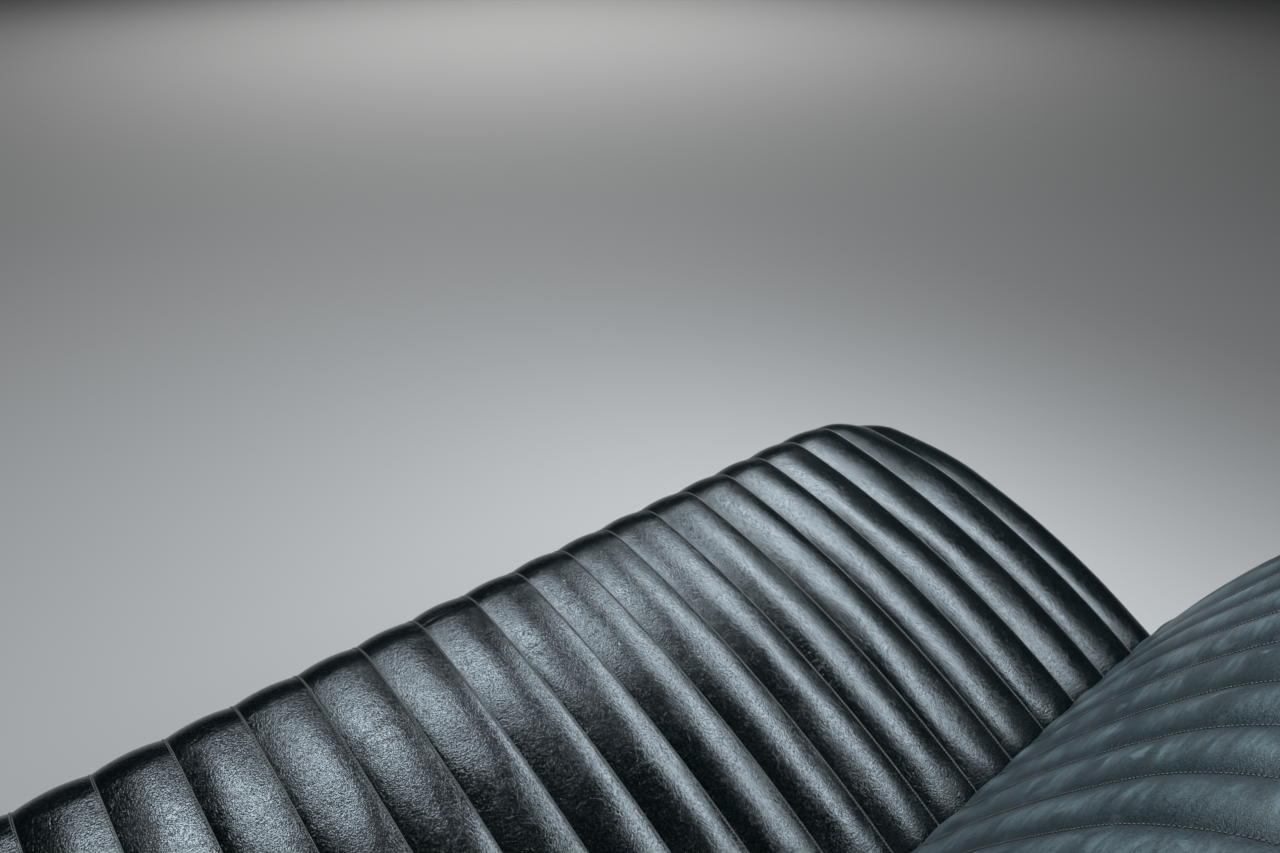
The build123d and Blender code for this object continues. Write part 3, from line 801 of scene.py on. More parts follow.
@dataclass
class PleatedCover:
    """Cushion or back: a cover sewn into pleats over its stuffing.

    The cover is a grid. Its columns follow the side line, and its rows run across the bench. Below
    and behind, the stuffing closes it, and leather_under of its stretches are leather as well.
    Steering, flattened and end_rise are tables of a place and a value. Swell is a height at the
    first row and how far along the pleats it reaches.
    """

    name: str
    line: SideLine | HollowLine
    under: tuple
    leather_under: int
    hem_rows: float
    finishes: list
    steering: tuple = ((0.0, 0.0),)
    rise: float = 0.0052
    flattened: tuple = ((0.0, 1.0), (9.0, 1.0))
    swell: tuple = (0.0, 1.0)
    end_rise: tuple = ((0.0, 0.0), (1.0, 0.0))
    seed: int = 3
    inflation: Inflation = field(default_factory=Inflation)

    SHARES = (0.0, 0.045, 0.15, 0.31, 0.5, 0.69, 0.85, 0.955)
    END_CURVE = ((0.0, 0.0), (0.018, 0.0045), (0.0530, 0.001), (0.056, -0.0205))
    END_STEPS = (0.05, 0.15, 0.28, 0.42, 0.56, 0.7, 0.84, 1.0)
    TUCK = ((0.0554, -0.0235), (0.0515, -0.0258), (0.043, -0.0260))
    HELD_MARGIN = 0.004
    START_RUN, START_FADE = 0.03, 0.25
    SWELL_EDGE = 0.02
    END_LIVELINESS = 0.5
    EDGE_CREASE = 0.8
    UNDER_STEP = 0.02

    # Waves of uneven stuffing: share before and after the simulation, how many, shortest and
    # longest, how much denser across, and height as a share of length
    WAVES_BEFORE, WAVES_AFTER = 0.15, 0.45
    WAVES, WAVE_LENGTHS, WAVE_CROSSING, WAVE_HEIGHT = 26, (0.03, 0.16), 1.6, 0.0009

    def columns(self) -> tuple[np.ndarray, np.ndarray, np.ndarray, np.ndarray]:
        """Columns from one end of the bench to the other.

        Returns:
            Place along the bench, drop below the seam line, place within a pleat from -1 to 1
            (2 outside the full pleats) and, for each column, whether it's held.
        """
        shares = np.array(self.SHARES)
        pleats = -HALF_PLEATS + PITCH * (np.arange(PLEATS)[:, None] + shares)
        pleats = np.append(pleats.ravel(), HALF_PLEATS)
        within = np.append(np.tile(2 * shares - 1, PLEATS), -1.0)
        end = np.array(self.END_CURVE)
        steps = np.array(self.END_STEPS)[:, None]
        bezier = (
            (1 - steps) ** 3 * end[0]
            + 3 * (1 - steps) ** 2 * steps * end[1]
            + 3 * (1 - steps) * steps**2 * end[2]
            + steps**3 * end[3]
        )
        beyond, drop = np.concatenate([bezier, np.array(self.TUCK)]).T
        tucked = np.arange(len(beyond)) >= len(self.END_STEPS) - 1
        outside = np.full(len(beyond), 2.0)
        x = np.concatenate([-(HALF_PLEATS + beyond)[::-1], pleats, HALF_PLEATS + beyond])
        offset = np.concatenate([drop[::-1], np.zeros(len(pleats)), drop])
        held = np.concatenate([tucked[::-1], within == -1.0, tucked])
        return x, offset, np.concatenate([outside, within, outside]), held

    def undulation(self, x: np.ndarray, along: np.ndarray) -> np.ndarray:
        """Uneven stuffing: gentle waves, seeded, in metres."""
        random = np.random.default_rng(self.seed)
        total = np.zeros(np.broadcast(x, along).shape)
        for _ in range(self.WAVES):
            length = random.uniform(*self.WAVE_LENGTHS)
            angle = random.uniform(0, pi)
            phase = random.uniform(0, 2 * pi)
            way = x * self.WAVE_CROSSING * cos(angle) + along * sin(angle)
            total += np.sin(way * (2 * pi / length) + phase) * length * self.WAVE_HEIGHT
        return total

    def build(self) -> bpy.types.Object:
        """Makes the cover.

        Returns:
            The cover's object, with a plain mesh.
        """
        x, offset, within, held = self.columns()
        points, normals, along, _ = self.line.trace(np.interp(np.abs(x), *zip(*self.steering)))
        total = along[-1]
        fade = np.clip((total - along) / self.hem_rows, 0.0, 1.0)
        fade = fade * np.clip(along / self.START_RUN, self.START_FADE, 1.0)
        fade = fade * np.interp(along, *zip(*self.flattened))
        low, reach = self.swell
        swell = low * np.clip(1.0 - along / reach, 0.0, 1.0) ** 0.5
        full = np.abs(within) <= 1.0
        crown = np.where(full, 1.0 - within**2, 0.0)
        height = offset[None, :] + self.rise * crown[None, :] * fade[:, None]
        inside = np.clip((HALF_COVER - np.abs(x)) / self.SWELL_EDGE, 0.0, 1.0)
        height = height + swell[:, None] * inside[None, :]
        beyond = np.clip((np.abs(x) - HALF_PLEATS) / END_ROLL, 0.0, 1.0)
        height = height + np.interp(along, *zip(*self.end_rise))[:, None] * beyond[None, :]
        free_rows = (along > self.HELD_MARGIN) & (along < total - self.HELD_MARGIN)
        lively = crown[None, :] * free_rows[:, None] * fade[:, None]
        ends = np.where(full | held, 0.0, self.END_LIVELINESS)
        lively = lively + ends[None, :] * fade[:, None]
        waves = self.undulation(x[None, :], along[:, None])
        height = height + waves * (self.WAVES_BEFORE * lively)
        sheet = placed(points + normals * height[..., None], x[None, :])
        faces = grid_faces(*sheet.shape[:2])
        if self.line.outer < 0:
            faces = [face[::-1] for face in faces]
        sewn = held[None, :] | ~free_rows[:, None]
        sheet = self.inflation.puff(sheet, faces, sewn)
        push = np.zeros_like(sheet)
        push[..., 1], push[..., 2] = -normals[..., 0], normals[..., 1]
        sheet = sheet + push * (waves * lively)[..., None] * self.WAVES_AFTER
        return self.close(sheet, faces, x, along, held)

    def close(
        self, sheet: np.ndarray, faces: list, x: np.ndarray, along: np.ndarray, held: np.ndarray
    ) -> bpy.types.Object:
        """Closes the cover below, and sharpens its seams.

        Args:
            sheet: Cover's places, rows x columns x 3.
            faces: The cover's faces.
            x: The columns' places along the bench.
            along: The rows' distances along the side line.
            held: Columns held by a seam.

        Returns:
            The closed cover's object.
        """
        rows, count = sheet.shape[:2]
        inner = np.clip(x, -HALF_STUFFING, HALF_STUFFING)
        under = np.array([placed(np.tile(point, (count, 1)), inner) for point in self.under])
        vertices = np.concatenate([sheet.reshape(-1, 3), under.reshape(-1, 3)])
        ring = list(range(rows)) + list(range(rows, rows + len(under))) + [0]
        flip = -1 if self.line.outer < 0 else 1
        closed = list(faces)
        for first, second in zip(ring[rows - 1 : -1], ring[rows:]):
            for c in range(count - 1):
                face = (first * count + c, first * count + c + 1, second * count + c + 1, second * count + c)
                closed.append(face[::flip])
        caps = [[r * count + c for r in ring[:-1]] for c in (0, count - 1)]
        mesh = mesh_from(self.name, vertices, closed + caps, self.finishes)
        mesh.uv_layers.new(name="cover")
        work = bmesh.new()
        work.from_mesh(mesh)
        work.verts.ensure_lookup_table()
        work.faces.ensure_lookup_table()
        layer = work.loops.layers.uv["cover"]
        crease = work.edges.layers.float.new("crease_edge")
        leather = len(faces) + self.leather_under * (count - 1)
        steps = np.concatenate([along, along[-1] + self.UNDER_STEP * (1 + np.arange(len(under)))])
        for face in work.faces:
            face.material_index = 0 if face.index < leather else 1
            for loop in face.loops:
                row, column = divmod(loop.vert.index, count)
                loop[layer].uv = (x[column], steps[row])
        seam = set(np.flatnonzero(held & (np.abs(x) <= HALF_PLEATS + 1e-6)).tolist())
        for edge in work.edges:
            (row_a, column_a), (row_b, column_b) = (divmod(v.index, count) for v in edge.verts)
            if row_a < rows and row_b < rows and column_a == column_b and column_a in seam:
                edge[crease] = 1.0
                edge.smooth = False
            elif row_a >= rows or row_b >= rows or (column_a == column_b and column_a in (0, count - 1)):
                edge[crease] = self.EDGE_CREASE
        bmesh.ops.triangulate(work, faces=[f for f in work.faces if len(f.verts) > 4])
        bmesh.ops.remove_doubles(work, verts=work.verts, dist=MERGED)
        bmesh.ops.recalc_face_normals(work, faces=work.faces)
        work.to_mesh(mesh)
        work.free()
        self.seams = [(sheet[:, c], sheet[:, c + 1]) for c in sorted(seam)]
        return subdivided(shown(self.name, mesh))


@dataclass(frozen=True)
class Runner:
    """Geometry Nodes tree that lays something along lines."""

    name: str
    finish: Finishes

    def tree(self) -> tuple[bpy.types.NodeTree, dict[str, str]]:
        """Builds the tree.

        Returns:
            The tree and the identifiers of its inputs by name.
        """
        tree = bpy.data.node_groups.new(self.name, "GeometryNodeTree")
        tree.interface.new_socket("Lines", in_out="INPUT", socket_type="NodeSocketGeometry")
        keys = {}
        for name in self.sizes():
            made = tree.interface.new_socket(name, in_out="INPUT", socket_type="NodeSocketFloat")
            keys[name] = made.identifier
        tree.interface.new_socket("Geometry", in_out="OUTPUT", socket_type="NodeSocketGeometry")
        bench = Bench(tree)
        group = bench.node("NodeGroupInput")
        curve = bench.node("GeometryNodeMeshToCurve", {}, {"Mesh": group.out("Lines")})
        made = self.lay(bench, group, curve)
        real = bench.node("GeometryNodeRealizeInstances", {}, {0: made})
        done = bench.node("GeometryNodeSetMaterial", {}, {"Geometry": real, "Material": self.finish.material})
        bench.node("NodeGroupOutput", {}, {0: done})
        return tree, keys

    def sizes(self) -> dict[str, float]:
        """Names and values of the tree's inputs, in metres."""
        raise NotImplementedError

    def lay(self, bench: Bench, group: Wire, curve: Wire) -> Wire:
        """What the tree makes of its lines.

        Args:
            bench: The tree's bench.
            group: The group's inputs.
            curve: The lines as curves.

        Returns:
            The geometry.
        """
        raise NotImplementedError

    def points(self, bench: Bench, group: Wire, curve: Wire) -> Wire:
        """Points along the lines, at the tree's pitch."""
        inputs = {"Curve": curve, "Length": group.out("Pitch")}
        return bench.node("GeometryNodeCurveToPoints", {"mode": "LENGTH"}, inputs)

    def swept(self, bench: Bench, curve: Wire, radius: Wire, sides: int) -> Wire:
        """Round section swept along a curve, closed at its ends."""
        ring = bench.node("GeometryNodeCurvePrimitiveCircle", {}, {"Resolution": sides, "Radius": radius})
        inputs = {"Curve": curve, "Profile Curve": ring, "Fill Caps": True}
        return bench.node("GeometryNodeCurveToMesh", {}, inputs)

    def along(self, name: str, lines: list[np.ndarray]) -> bpy.types.Object:
        """Runs the tree along lines.

        Args:
            name: The new piece's name.
            lines: Each line's places.

        Returns:
            The piece, with a plain mesh.
        """
        edges, start = [], 0
        for line in lines:
            edges += [(start + i, start + i + 1) for i in range(len(line) - 1)]
            start += len(line)
        mesh = bpy.data.meshes.new(name)
        mesh.from_pydata(np.concatenate(lines).tolist(), edges, [])
        piece = shown(name, mesh)
        tree, keys = self.tree()
        nodes = piece.modifiers.new(self.name, "NODES")
        nodes.node_group = tree
        for size, value in self.sizes().items():
            nodes[keys[size]] = value
        piece = settle(piece)
        piece.data.shade_smooth()
        return piece


@dataclass(frozen=True)
class Stitches(Runner):
    """Row of stitches: one elongated bead for each."""

    length: float = 0.0026
    pitch: float = STITCH_PITCH
    thickness: float = 0.0012

    def sizes(self) -> dict[str, float]:
        """Stitch length, pitch and thread thickness."""
        return {"Length": self.length, "Pitch": self.pitch, "Thickness": self.thickness}

    def lay(self, bench: Bench, group: Wire, curve: Wire) -> Wire:
        """Beads on evenly spaced points, turned along the line."""
        points = self.points(bench, group, curve)
        bead = bench.node("GeometryNodeMeshUVSphere", {}, {"Segments": 4, "Rings": 3, "Radius": 0.5})
        thick, long = group.out("Thickness"), group.out("Length")
        scale = bench.node("ShaderNodeCombineXYZ", {}, {0: thick, 1: thick, 2: long})
        inputs = {"Points": points, "Instance": bead, "Rotation": points.out("Rotation"), "Scale": scale}
        return bench.node("GeometryNodeInstanceOnPoints", {}, inputs)


@dataclass(frozen=True)
class Cord(Runner):
    """Round cord along each line, closed at its ends."""

    radius: float
    sides: int

    def sizes(self) -> dict[str, float]:
        """The cord's radius."""
        return {"Radius": self.radius}

    def lay(self, bench: Bench, group: Wire, curve: Wire) -> Wire:
        """A circle swept along the curve."""
        return self.swept(bench, curve, group.out("Radius"), self.sides)


@dataclass(frozen=True)
class HogRings(Runner):
    """Open wire rings that hold a hem, each standing across the line."""

    pitch: float = 0.058
    radius: float = 0.0062
    wire: float = 0.0010

    def sizes(self) -> dict[str, float]:
        """Pitch, ring radius and wire radius."""
        return {"Pitch": self.pitch, "Radius": self.radius, "Wire": self.wire}

    def lay(self, bench: Bench, group: Wire, curve: Wire) -> Wire:
        """Rings on evenly spaced points, with their openings up."""
        points = self.points(bench, group, curve)
        span = {"Resolution": 12, "Start Angle": radians(-240), "Sweep Angle": radians(300)}
        arc = bench.node("GeometryNodeCurveArc", {}, {"Radius": group.out("Radius"), **span})
        ring = self.swept(bench, arc, group.out("Wire"), 6)
        stood = bench.node("GeometryNodeTransform", {}, {"Geometry": ring, "Rotation": (pi / 2, 0.0, pi / 2)})
        return bench.node("GeometryNodeInstanceOnPoints", {}, {"Points": points, "Instance": stood})


@dataclass
class CrownedPanel:
    """Padded panel that fills a side view outline at one end of the seat."""

    name: str
    outline: np.ndarray
    spine: tuple
    side: int
    crown: float = 0.0042
    thickness: float = 0.0118
    rim: float = 0.0045
    rim_share: float = 0.08
    steepness: float = 2.2
    rings: tuple = (0.0, 0.03, 0.08, 0.16, 0.3, 0.5, 0.75, 1.0)

    def build(self) -> bpy.types.Object:
        """Rings from the outline to the spine, over a flat inner face.

        Returns:
            The panel, with a plain mesh.
        """
        outline = self.outline
        foot, tip = np.array(self.spine[0]), np.array(self.spine[1])
        way = tip - foot
        share = np.clip(((outline - foot) @ way) / (way @ way), 0.0, 1.0)
        middle = foot + share[:, None] * way
        count = len(outline)
        inner = HALF_STUFFING + STUFFING_GAP
        layers = [placed(outline, np.full(count, inner))]
        for ring in self.rings:
            lift = self.thickness - self.rim + self.rim * min(1.0, ring / self.rim_share) ** 0.5
            lift += self.crown * (1 - (1 - ring) ** self.steepness)
            flat = outline + (middle - outline) * ring
            layers.append(placed(flat, np.full(count, inner + lift)))
        vertices = np.concatenate(layers)
        vertices[:, 0] *= self.side
        faces = [
            (k * count + i, k * count + j, (k + 1) * count + j, (k + 1) * count + i)
            for k in range(len(layers) - 1)
            for i, j in zip(range(count), [*range(1, count), 0])
        ]
        mesh = mesh_from(self.name, vertices, faces + [list(range(count))], [Finishes.PLAIN])
        work = bmesh.new()
        work.from_mesh(mesh)
        bmesh.ops.triangulate(work, faces=[f for f in work.faces if len(f.verts) > 4])
        work.to_mesh(mesh)
        work.free()
        outwards(mesh)
        mesh.shade_smooth()
        return subdivided(shown(self.name, mesh))


def dress_ends(part: str, outline: np.ndarray, spine: tuple, welt_line: np.ndarray) -> None:
    """End panels and welts of the cushion or the back.

    Args:
        part: Name of the part.
        outline: The panels' outline in the side view.
        spine: Two ends of the line that the panels' crowns rise to.
        welt_line: The welts' line in the side view.
    """
    welt = Cord("welt", Finishes.WELT, radius=WELT_RADIUS, sides=14)
    for side, name in ((1, "left"), (-1, "right")):
        panel = CrownedPanel(f"{part}_panel_{name}", outline, spine, side)
        hand_over(panel.build(), "plain_cover", f"{part}_end_{name}", fill=0.7)
        line = placed(welt_line, np.full(len(welt_line), side * WELT_X))
        cord = welt.along(f"{part}_welt_cord_{name}", [line])
        hand_over(cord, "welt_cord", f"{part}_welt_{name}")


@dataclass
class RearPanel:
    """Plain padded panel over the rear of the back, bent at the knee."""

    profile: np.ndarray
    normals: np.ndarray
    thickness: float = 0.0155
    rim_width: float = 0.012
    rim_drop: float = 0.011
    crown: float = 0.0035
    crown_reach: float = 0.10
    sewn_edge: float = 0.004
    columns: int = 96
    bunching: float = 0.35
    inflation: Inflation = field(default_factory=lambda: Inflation(pressure=0.6, slack=0.004, cap=0.004))

    def build(self) -> bpy.types.Object:
        """Outer face over a grid, with a rounded rim and a flat inner face.

        Returns:
            The panel, with a plain mesh.
        """
        rows = len(self.profile)
        turns = np.linspace(-pi / 2, pi / 2, self.columns)
        x = np.sin(turns) * self.bunching + np.linspace(-1, 1, self.columns) * (1 - self.bunching)
        x = x * HALF_STUFFING
        travelled = np.concatenate([[0.0], np.cumsum(np.linalg.norm(np.diff(self.profile, axis=0), axis=1))])
        to_edge = np.minimum(
            np.minimum(travelled, travelled[-1] - travelled)[:, None], (HALF_STUFFING - np.abs(x))[None, :]
        )
        rim = np.clip(to_edge / self.rim_width, 0.0, 1.0)
        lift = self.thickness - self.rim_drop * (1 - np.sqrt(1 - (1 - rim) ** 2))
        broad = np.clip(to_edge / self.crown_reach, 0.0, 1.0)
        lift = lift + self.crown * (1 - (1 - broad) ** 2)
        outer = placed(self.profile[:, None, :] + self.normals[:, None, :] * lift[..., None], x[None, :])
        inner = placed(np.repeat(self.profile[:, None, :], self.columns, axis=1), x[None, :])
        grid = grid_faces(rows, self.columns)
        flipped = [face[::-1] for face in grid]
        outer = self.inflation.puff(outer, flipped, to_edge < self.sewn_edge)
        size = rows * self.columns
        at = np.arange(size).reshape(rows, self.columns)
        rim_loop = np.concatenate([at[0], at[1:, -1], at[-1, -2::-1], at[-2:0:-1, 0]]).tolist()
        sides = [(a, b, b + size, a + size) for a, b in zip(rim_loop, rim_loop[1:] + rim_loop[:1])]
        back = [tuple(i + size for i in face) for face in grid]
        vertices = np.concatenate([outer.reshape(-1, 3), inner.reshape(-1, 3)])
        mesh = mesh_from("rear_panel_cover", vertices, grid + sides + back, [Finishes.PLAIN])
        outwards(mesh)
        mesh.shade_smooth()
        return subdivided(shown("rear_panel_cover", mesh))


@dataclass
class Cushion:
    """The seat's cushion with its end panels, welts and hem."""

    start: tuple = (-0.07454, -0.04746)
    start_heading: float = 35.0
    top_radius: float = 1.013
    top_heading: float = 5.853
    front_radius: float = 0.052
    front_heading: float = -97.0
    front_rows: float = 0.0050
    hem_radius: float = 0.005
    hem_heading: float = -178.0
    rail_gap: float = 0.003
    turn_in: tuple = (0.006, 0.004)
    ring_reach: float = 0.70
    ring_place: tuple = (0.004, 0.0035)
    rear: float = -0.0745
    setbacks: tuple = (
        (0.57, 0.0),
        (0.60, 0.001),
        (0.63, 0.0035),
        (0.66, 0.009),
        (0.69, 0.0165),
        (0.73, 0.026),
    )
    end_rise: tuple = ((0.19, 0.006), (0.28, 0.0045), (0.36, 0.0015), (0.45, 0.0))
    spine: tuple = ((0.0, -0.085), (0.355, -0.045))

    def line(self, hem: bool = True) -> SideLine:
        """Side line of the seams, with or without the turn under the hem."""
        drop = HEM_Z - CREASE_Z + (self.hem_radius * (1 + cos(radians(self.front_heading))) if hem else 0.0)
        stretches = [
            Bend(self.top_radius, self.top_heading, FLAT_ROWS, yields=True),
            Bend(self.front_radius, self.front_heading, self.front_rows),
            Straight(PLAIN_ROWS, level=drop),
        ]
        if hem:
            stretches.append(Bend(self.hem_radius, self.hem_heading, TIGHT_ROWS))
        return SideLine(self.start, self.start_heading, tuple(stretches), 1)

    def build(self) -> list[tuple]:
        """Makes the cushion's pieces.

        Returns:
            The cover's seams, each with the line next to it.
        """
        inner = CREASE_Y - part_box("frame_front_rail")[0].y + self.rail_gap
        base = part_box("cushion_spring_1")[1].z + STUFFING_GAP - CREASE_Z
        hem = HEM_Z - CREASE_Z
        forward, up = self.turn_in
        cover = PleatedCover(
            name="cushion_cover",
            line=self.line(),
            under=((inner + forward, hem), (inner, hem + up), (inner, base), (self.rear, base)),
            leather_under=1,
            hem_rows=0.030,
            finishes=[Finishes.PLEATS, Finishes.BURLAP],
            steering=self.setbacks,
            end_rise=self.end_rise,
            flattened=((0.30, 1.0), (0.46, 0.72), (0.53, 0.60), (0.60, 0.72), (0.66, 1.0)),
        )
        hand_over(cover.build(), "pleated_cover", "seat_cushion", fill=0.85)
        self.ends(hem)
        forward, up = self.ring_place
        reaches = (-self.ring_reach, self.ring_reach)
        hem_line = np.array([[x, CREASE_Y - inner - forward, HEM_Z + up] for x in reaches])
        rings = HogRings("hog_rings", Finishes.SPRING).along("hem_hog_rings", [hem_line])
        hand_over(rings, "spring_steel")
        return cover.seams

    def ends(self, hem: float) -> None:
        """End panels and welts, down to the hem's height in the side view."""
        lines = self.line(hem=False).trace(np.array([self.setbacks[-1][1]]))
        points, normals = lines[0][:, 0], lines[1][:, 0]
        points = points + normals * np.interp(lines[2], *zip(*self.end_rise))[:, None]
        edge = points - normals * (PAD_DEPTH + PANEL_GAP)
        (rear, top), front = edge[0], edge[-1, 0]
        bottom = [(forward, hem) for forward in np.linspace(front - 0.02, rear, 40)]
        rise = [(rear, up) for up in np.linspace(hem, top, 12)[1:-1]]
        outline = np.concatenate([edge, [(front - 0.002, hem)], bottom, rise])
        dress_ends("cushion", outline, self.spine, points - normals * (PAD_DEPTH - WELT_RADIUS / 2))


@dataclass
class Back:
    """The seat's back with its end panels, welts and rear panel."""

    start_up: float = 0.006
    heading: float = 30.0
    foot_z: float = 0.165
    foot_front: float = -0.090
    foot_rear: float = -0.150
    tuck_up: float = -0.041
    pad_depth: float = 0.020
    turn_radius: float = 0.009
    turn_heading: float = 382.0
    turn_space: float = 0.008
    upper_rows: int = 30
    lower_rows: int = 14
    fullness: tuple = ((0.33, 0.0), (0.37, 0.09), (0.41, 0.31), (0.45, 0.60), (0.49, 0.86), (0.54, 1.0))
    spine: tuple = ((-0.105, -0.020), (-0.225, 0.285))

    # Forward distance of the start, then radius and heading of each arc and the rear run
    MIDDLE = (-0.034, (0.030, 117.0), (1.276, 128.0), (0.310, 152.0), (0.050, 300.0), 0.042)
    ENDS = (-0.032, (0.030, 113.0), (0.963, 128.0), (0.2749, 152.0), (0.0576, 300.0), 0.027)
    BEND_ROWS = (CURVED_ROWS, FLAT_ROWS, PLAIN_ROWS, CURVED_ROWS)

    def line(self, tuck: bool = True) -> HollowLine:
        """Side line of the seams, with or without the turns inwards at its ends."""
        return HollowLine(self.stretch(self.MIDDLE, tuck), self.stretch(self.ENDS, tuck))

    def stretch(self, shape: tuple, tuck: bool) -> SideLine:
        """Side line of one shape.

        Args:
            shape: Start, arcs and rear run.
            tuck: Whether the line turns inwards at its ends.

        Returns:
            The line.
        """
        forward, *bends, run = shape
        start = (forward, self.start_up)
        stretches = [Bend(*bend, step) for bend, step in zip(bends, self.BEND_ROWS)]
        stretches.append(Straight(PLAIN_ROWS, length=run - self.turn_space if tuck else run))
        if not tuck:
            return SideLine(start, self.heading, tuple(stretches), -1)
        stretches.append(Bend(self.turn_radius, self.turn_heading, TIGHT_ROWS))
        lead, straight, tuck_turn = 0.012, 0.014, 80.0
        turn = radians(self.heading)
        begun = (start[0] - straight * cos(turn), start[1] - straight * sin(turn))
        centre = (begun[0] - lead * sin(turn), begun[1] + lead * cos(turn))
        first = radians(self.heading - tuck_turn)
        start = (centre[0] + lead * sin(first), centre[1] - lead * cos(first))
        opening = [Bend(lead, self.heading, TIGHT_ROWS), Straight(CURVED_ROWS, length=straight)]
        return SideLine(start, self.heading - tuck_turn, tuple(opening + stretches), -1)

    def build(self) -> list[tuple]:
        """Makes the back's pieces.

        Returns:
            The cover's seams, each with the line next to it.
        """
        foot = self.foot_z - CREASE_Z
        lines = self.line(tuck=False).trace(np.array([0.0, 1.0]))[:2]
        points, normals = (part[:, 0] for part in lines)
        stuffing = points - normals * self.pad_depth
        way = unit(radians(self.MIDDLE[4][1]))
        end = stuffing[-1]
        knee = end + way * ((self.foot_rear - end[0]) / way[0])
        cover = PleatedCover(
            name="back_cover",
            line=self.line(),
            under=(end, knee, *self.base(foot)),
            leather_under=3,
            hem_rows=0.012,
            finishes=[Finishes.BACK_PLEATS, Finishes.BURLAP],
            steering=self.fullness,
            rise=0.0046,
            flattened=((0.03, 0.35), (0.09, 0.55), (0.18, 0.90), (0.28, 1.0)),
            swell=(0.0065, 0.085),
            seed=11,
        )
        hand_over(cover.build(), "pleated_cover", "seat_back", fill=0.85)
        self.ends(*(part[:, 1] for part in lines), foot)
        self.rear(end, way, foot)
        return cover.seams

    def base(self, foot: float) -> tuple:
        """Side view places below the rear panel and the front, at the foot's height."""
        return (self.foot_rear, foot), (self.foot_front, foot), (self.foot_front, self.tuck_up)

    def ends(self, points: np.ndarray, normals: np.ndarray, foot: float) -> None:
        """End panels and welts.

        Args:
            points: Side line of the seams.
            normals: Its outward directions.
            foot: Side view height of the foot.
        """
        edge = points - normals * (PAD_DEPTH + PANEL_GAP)
        way = edge[-1] - edge[-2]
        corner = edge[-1] + way * ((self.foot_rear - edge[-1, 0]) / way[0])
        corners = [np.array(place) for place in (edge[-1], corner, *self.base(foot), edge[0])]
        outline = [edge]
        for first, second in zip(corners, corners[1:]):
            steps = max(2, int(np.linalg.norm(second - first) / 0.010))
            outline.append(first + (second - first) * np.linspace(0, 1, steps + 1)[1:, None])
        outline = np.concatenate(outline)[:-1]
        dress_ends("back", outline, self.spine, points - normals * (PAD_DEPTH - WELT_RADIUS / 2))

    def rear(self, end: np.ndarray, way: np.ndarray, foot: float) -> None:
        """Rear panel.

        Args:
            end: Where the stuffing's rear comes out from under the rolls.
            way: Direction down the rear.
            foot: Side view height of the foot.
        """
        out = np.array([way[1], -way[0]])
        start = end + way * 0.0004
        knee = start + way * ((self.foot_rear - start[0]) / way[0])
        bottom = np.array([self.foot_rear, foot])
        upper = start + (knee - start) * np.linspace(0, 1, self.upper_rows)[:, None]
        lower = knee + (bottom - knee) * np.linspace(0, 1, self.lower_rows)[1:, None]
        profile = np.concatenate([upper, lower])
        backwards = np.array([-1.0, 0.0])
        bent = self.upper_rows - 2
        normals = np.concatenate([np.tile(out, (bent + 1, 1)), np.tile(backwards, (self.lower_rows, 1))])
        bend = (out + backwards) / 2
        length = (bend @ bend) ** 0.5
        normals[bent] = bend / length / max(0.5, float(bend @ out) / length)
        hand_over(RearPanel(profile, normals).build(), "plain_cover", "back_rear_panel", fill=0.6)


@dataclass
class SeamWork:
    """Sewing in the valleys between the pleats."""

    name: str
    seams: list
    outer: int
    fold: float = 0.00045
    # On the cushion the folds carry the pale painted seam highlight
    edge: Finishes = Finishes.EDGE
    fold_lift: float = 0.0002
    stitch_share: float = 0.55
    stitch_lift: float = 0.0005

    def build(self) -> None:
        """Lays a fold of leather and a row of stitches in each valley."""
        folds = Cord("seam_fold", self.edge, radius=self.fold, sides=6)
        stitches = Stitches("stitches", Finishes.THREAD)
        rows = (
            ("seam_folds", folds, 0.0, self.fold_lift),
            ("stitches", stitches, self.stitch_share, self.stitch_lift),
        )
        for kind, runner, share, lift in rows:
            lines = [self.beside(*seam, share, lift) for seam in self.seams]
            hand_over(runner.along(f"{self.name}_{kind}", lines), "pleated_cover")

    def beside(self, seam: np.ndarray, neighbour: np.ndarray, share: float, lift: float) -> np.ndarray:
        """Line on the leather next to a seam.

        Args:
            seam: The seam's places.
            neighbour: Places of the line next to it.
            share: How far the line lies towards the neighbour, from 0 to 1.
            lift: Height above the leather.

        Returns:
            The line's places.
        """
        way = np.gradient(seam, axis=0)
        way = way / np.linalg.norm(way, axis=1, keepdims=True)
        outwards_way = np.cross(way, np.array([1.0, 0.0, 0.0])) * self.outer
        return seam + (neighbour - seam) * share + outwards_way * lift


class FrameFinishes:
    """Finishes of the CAD nodes that stay."""

    PREFIXES = {
        "frame_": Finishes.PAINT,
        "back_bracket": Finishes.PAINT,
        "floor_foot": Finishes.PAINT,
        "lower_rail": Finishes.PLATED,
        "slider": Finishes.PLATED,
        "rollers": Finishes.PLATED,
        "adjuster": Finishes.PLATED,
        "adjuster_knob": Finishes.KNOB,
        "cushion_spring": Finishes.SPRING,
    }

    def dress(self) -> None:
        """Gives each shown CAD node its material."""
        for node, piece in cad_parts.items():
            if piece.hide_render:
                continue
            fits = [prefix for prefix in self.PREFIXES if node.startswith(prefix)]
            finish = self.PREFIXES[max(fits, key=len)]
            for slot in piece.material_slots:
                slot.material = finish.material
            log.info("%s: %s", node, finish.value.name)


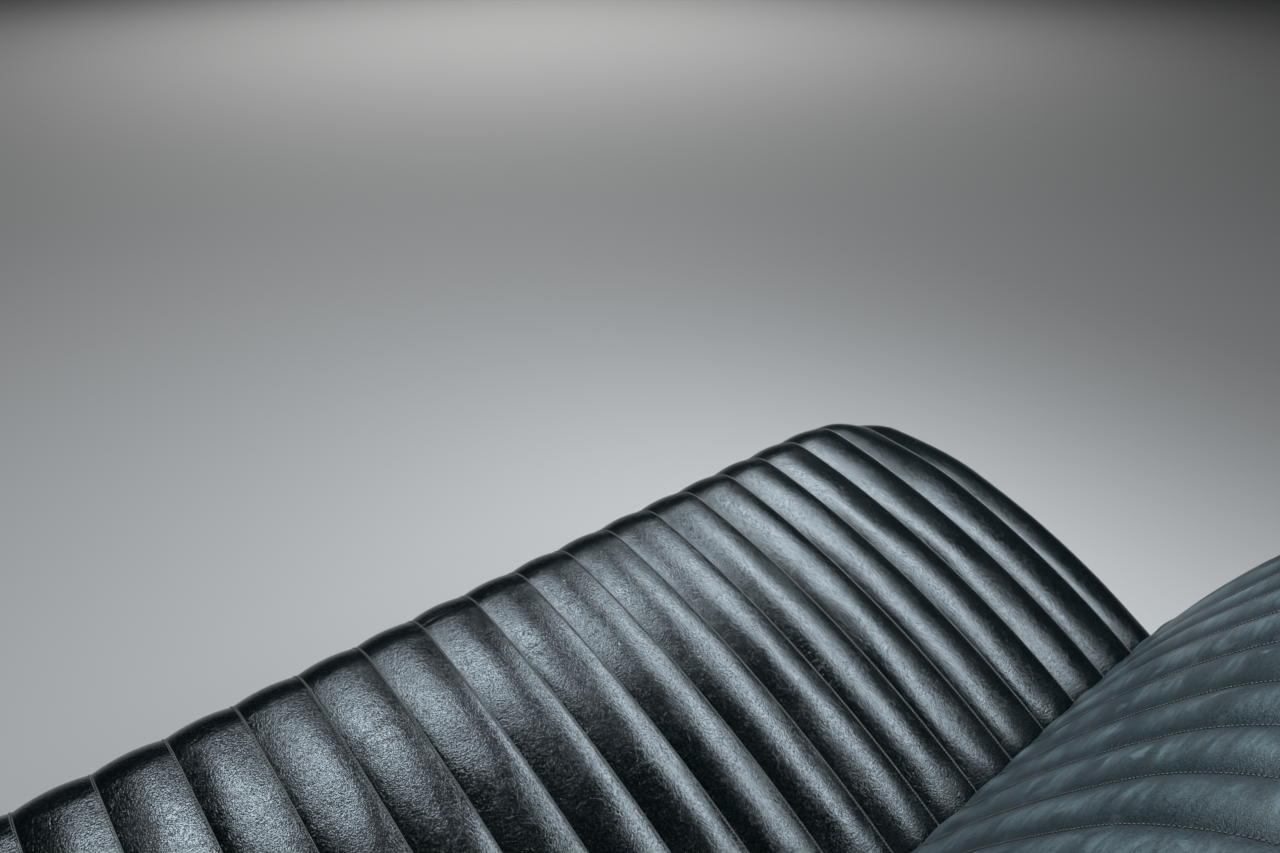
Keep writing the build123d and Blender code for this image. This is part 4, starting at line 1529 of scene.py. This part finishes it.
@dataclass(frozen=True)
class SoftLamp:
    """Area lamp aimed at a point."""

    name: str
    place: tuple
    aim: tuple
    size: tuple
    power: float
    colour: tuple = (1.0, 1.0, 1.0)
    spread: float = 180.0

    def build(self) -> None:
        """Hangs the lamp."""
        lamp = bpy.data.lights.new(self.name, "AREA")
        lamp.shape = "RECTANGLE"
        lamp.size, lamp.size_y = self.size
        lamp.energy = self.power
        lamp.color = self.colour
        lamp.spread = radians(self.spread)
        holder = bpy.data.objects.new(self.name, lamp)
        holder.location = self.place
        way = Vector(self.aim) - Vector(self.place)
        holder.rotation_euler = way.to_track_quat("-Z", "Y").to_euler()
        bpy.context.scene.collection.objects.link(holder)


@dataclass
class Studio:
    """Floor, lamps, world and camera."""

    floor_half: float = 25.0
    sky: tuple = (0.86, 0.90, 0.96, 1.0)
    sky_strength: float = 0.02
    eye: tuple = (0.26791, 0.36128, 1.03544)
    forward: tuple = (-0.54454, -0.66909, -0.50576)
    up: tuple = (-0.32374, -0.38860, 0.86266)
    lens: float = 27.64
    lamps: tuple = (
        SoftLamp("side", (-0.92, -0.08, 1.10), (-0.32, -0.05, 0.38), (1.4, 0.24), 10.5, (0.90, 0.95, 1.0)),
        SoftLamp("front", (-0.36, -1.29, 2.82), (-0.1, -0.05, 0.33), (1.4, 0.45), 27.0, (0.90, 0.95, 1.0)),
        SoftLamp("fill", (3.6, 3.4, 4.2), (-0.6, -1.0, 0.0), (3.0, 3.0), 45.0),
        SoftLamp("backdrop", (-3.5, -5.5, 4.0), (-3.5, -5.5, 0.0), (5.0, 5.0), 60.0, spread=100.0),
    )

    def build(self) -> None:
        """Sets the scene up."""
        scene = bpy.context.scene
        scene.view_settings.view_transform = "Standard"
        reach = self.floor_half
        corners = [(-reach, -reach, 0), (reach, -reach, 0), (reach, reach, 0), (-reach, reach, 0)]
        mesh = mesh_from("studio_floor", np.array(corners), [(0, 1, 2, 3)], [Finishes.FLOOR])
        shown("studio_floor", mesh)
        for lamp in self.lamps:
            lamp.build()
        world = bpy.data.worlds.new("studio_world")
        world.use_nodes = True
        background = world.node_tree.nodes["Background"]
        background.inputs["Color"].default_value = self.sky
        background.inputs["Strength"].default_value = self.sky_strength
        scene.world = world
        camera = bpy.data.cameras.new("camera")
        camera.sensor_width, camera.lens = 36.0, self.lens
        camera.clip_start, camera.clip_end = 0.02, 60.0
        holder = bpy.data.objects.new("camera", camera)
        back = -Vector(self.forward).normalized()
        up = Vector(self.up).normalized()
        right = up.cross(back).normalized()
        turned = Matrix((right, back.cross(right), back)).transposed().to_4x4()
        holder.matrix_world = Matrix.Translation(self.eye) @ turned
        scene.collection.objects.link(holder)
        scene.camera = holder


def main() -> None:
    """Builds the seat's looks in order and reports each piece."""
    logging.basicConfig(level=logging.INFO, format="%(name)s: %(message)s", stream=sys.stdout)
    Studio().build()
    cushion_seams = Cushion().build()
    back_seams = Back().build()
    SeamWork("cushion", cushion_seams, 1).build()
    SeamWork("back", back_seams, -1, fold=0.0003, edge=Finishes.WELT).build()
    FrameFinishes().dress()


if __name__ == "__main__":
    main()
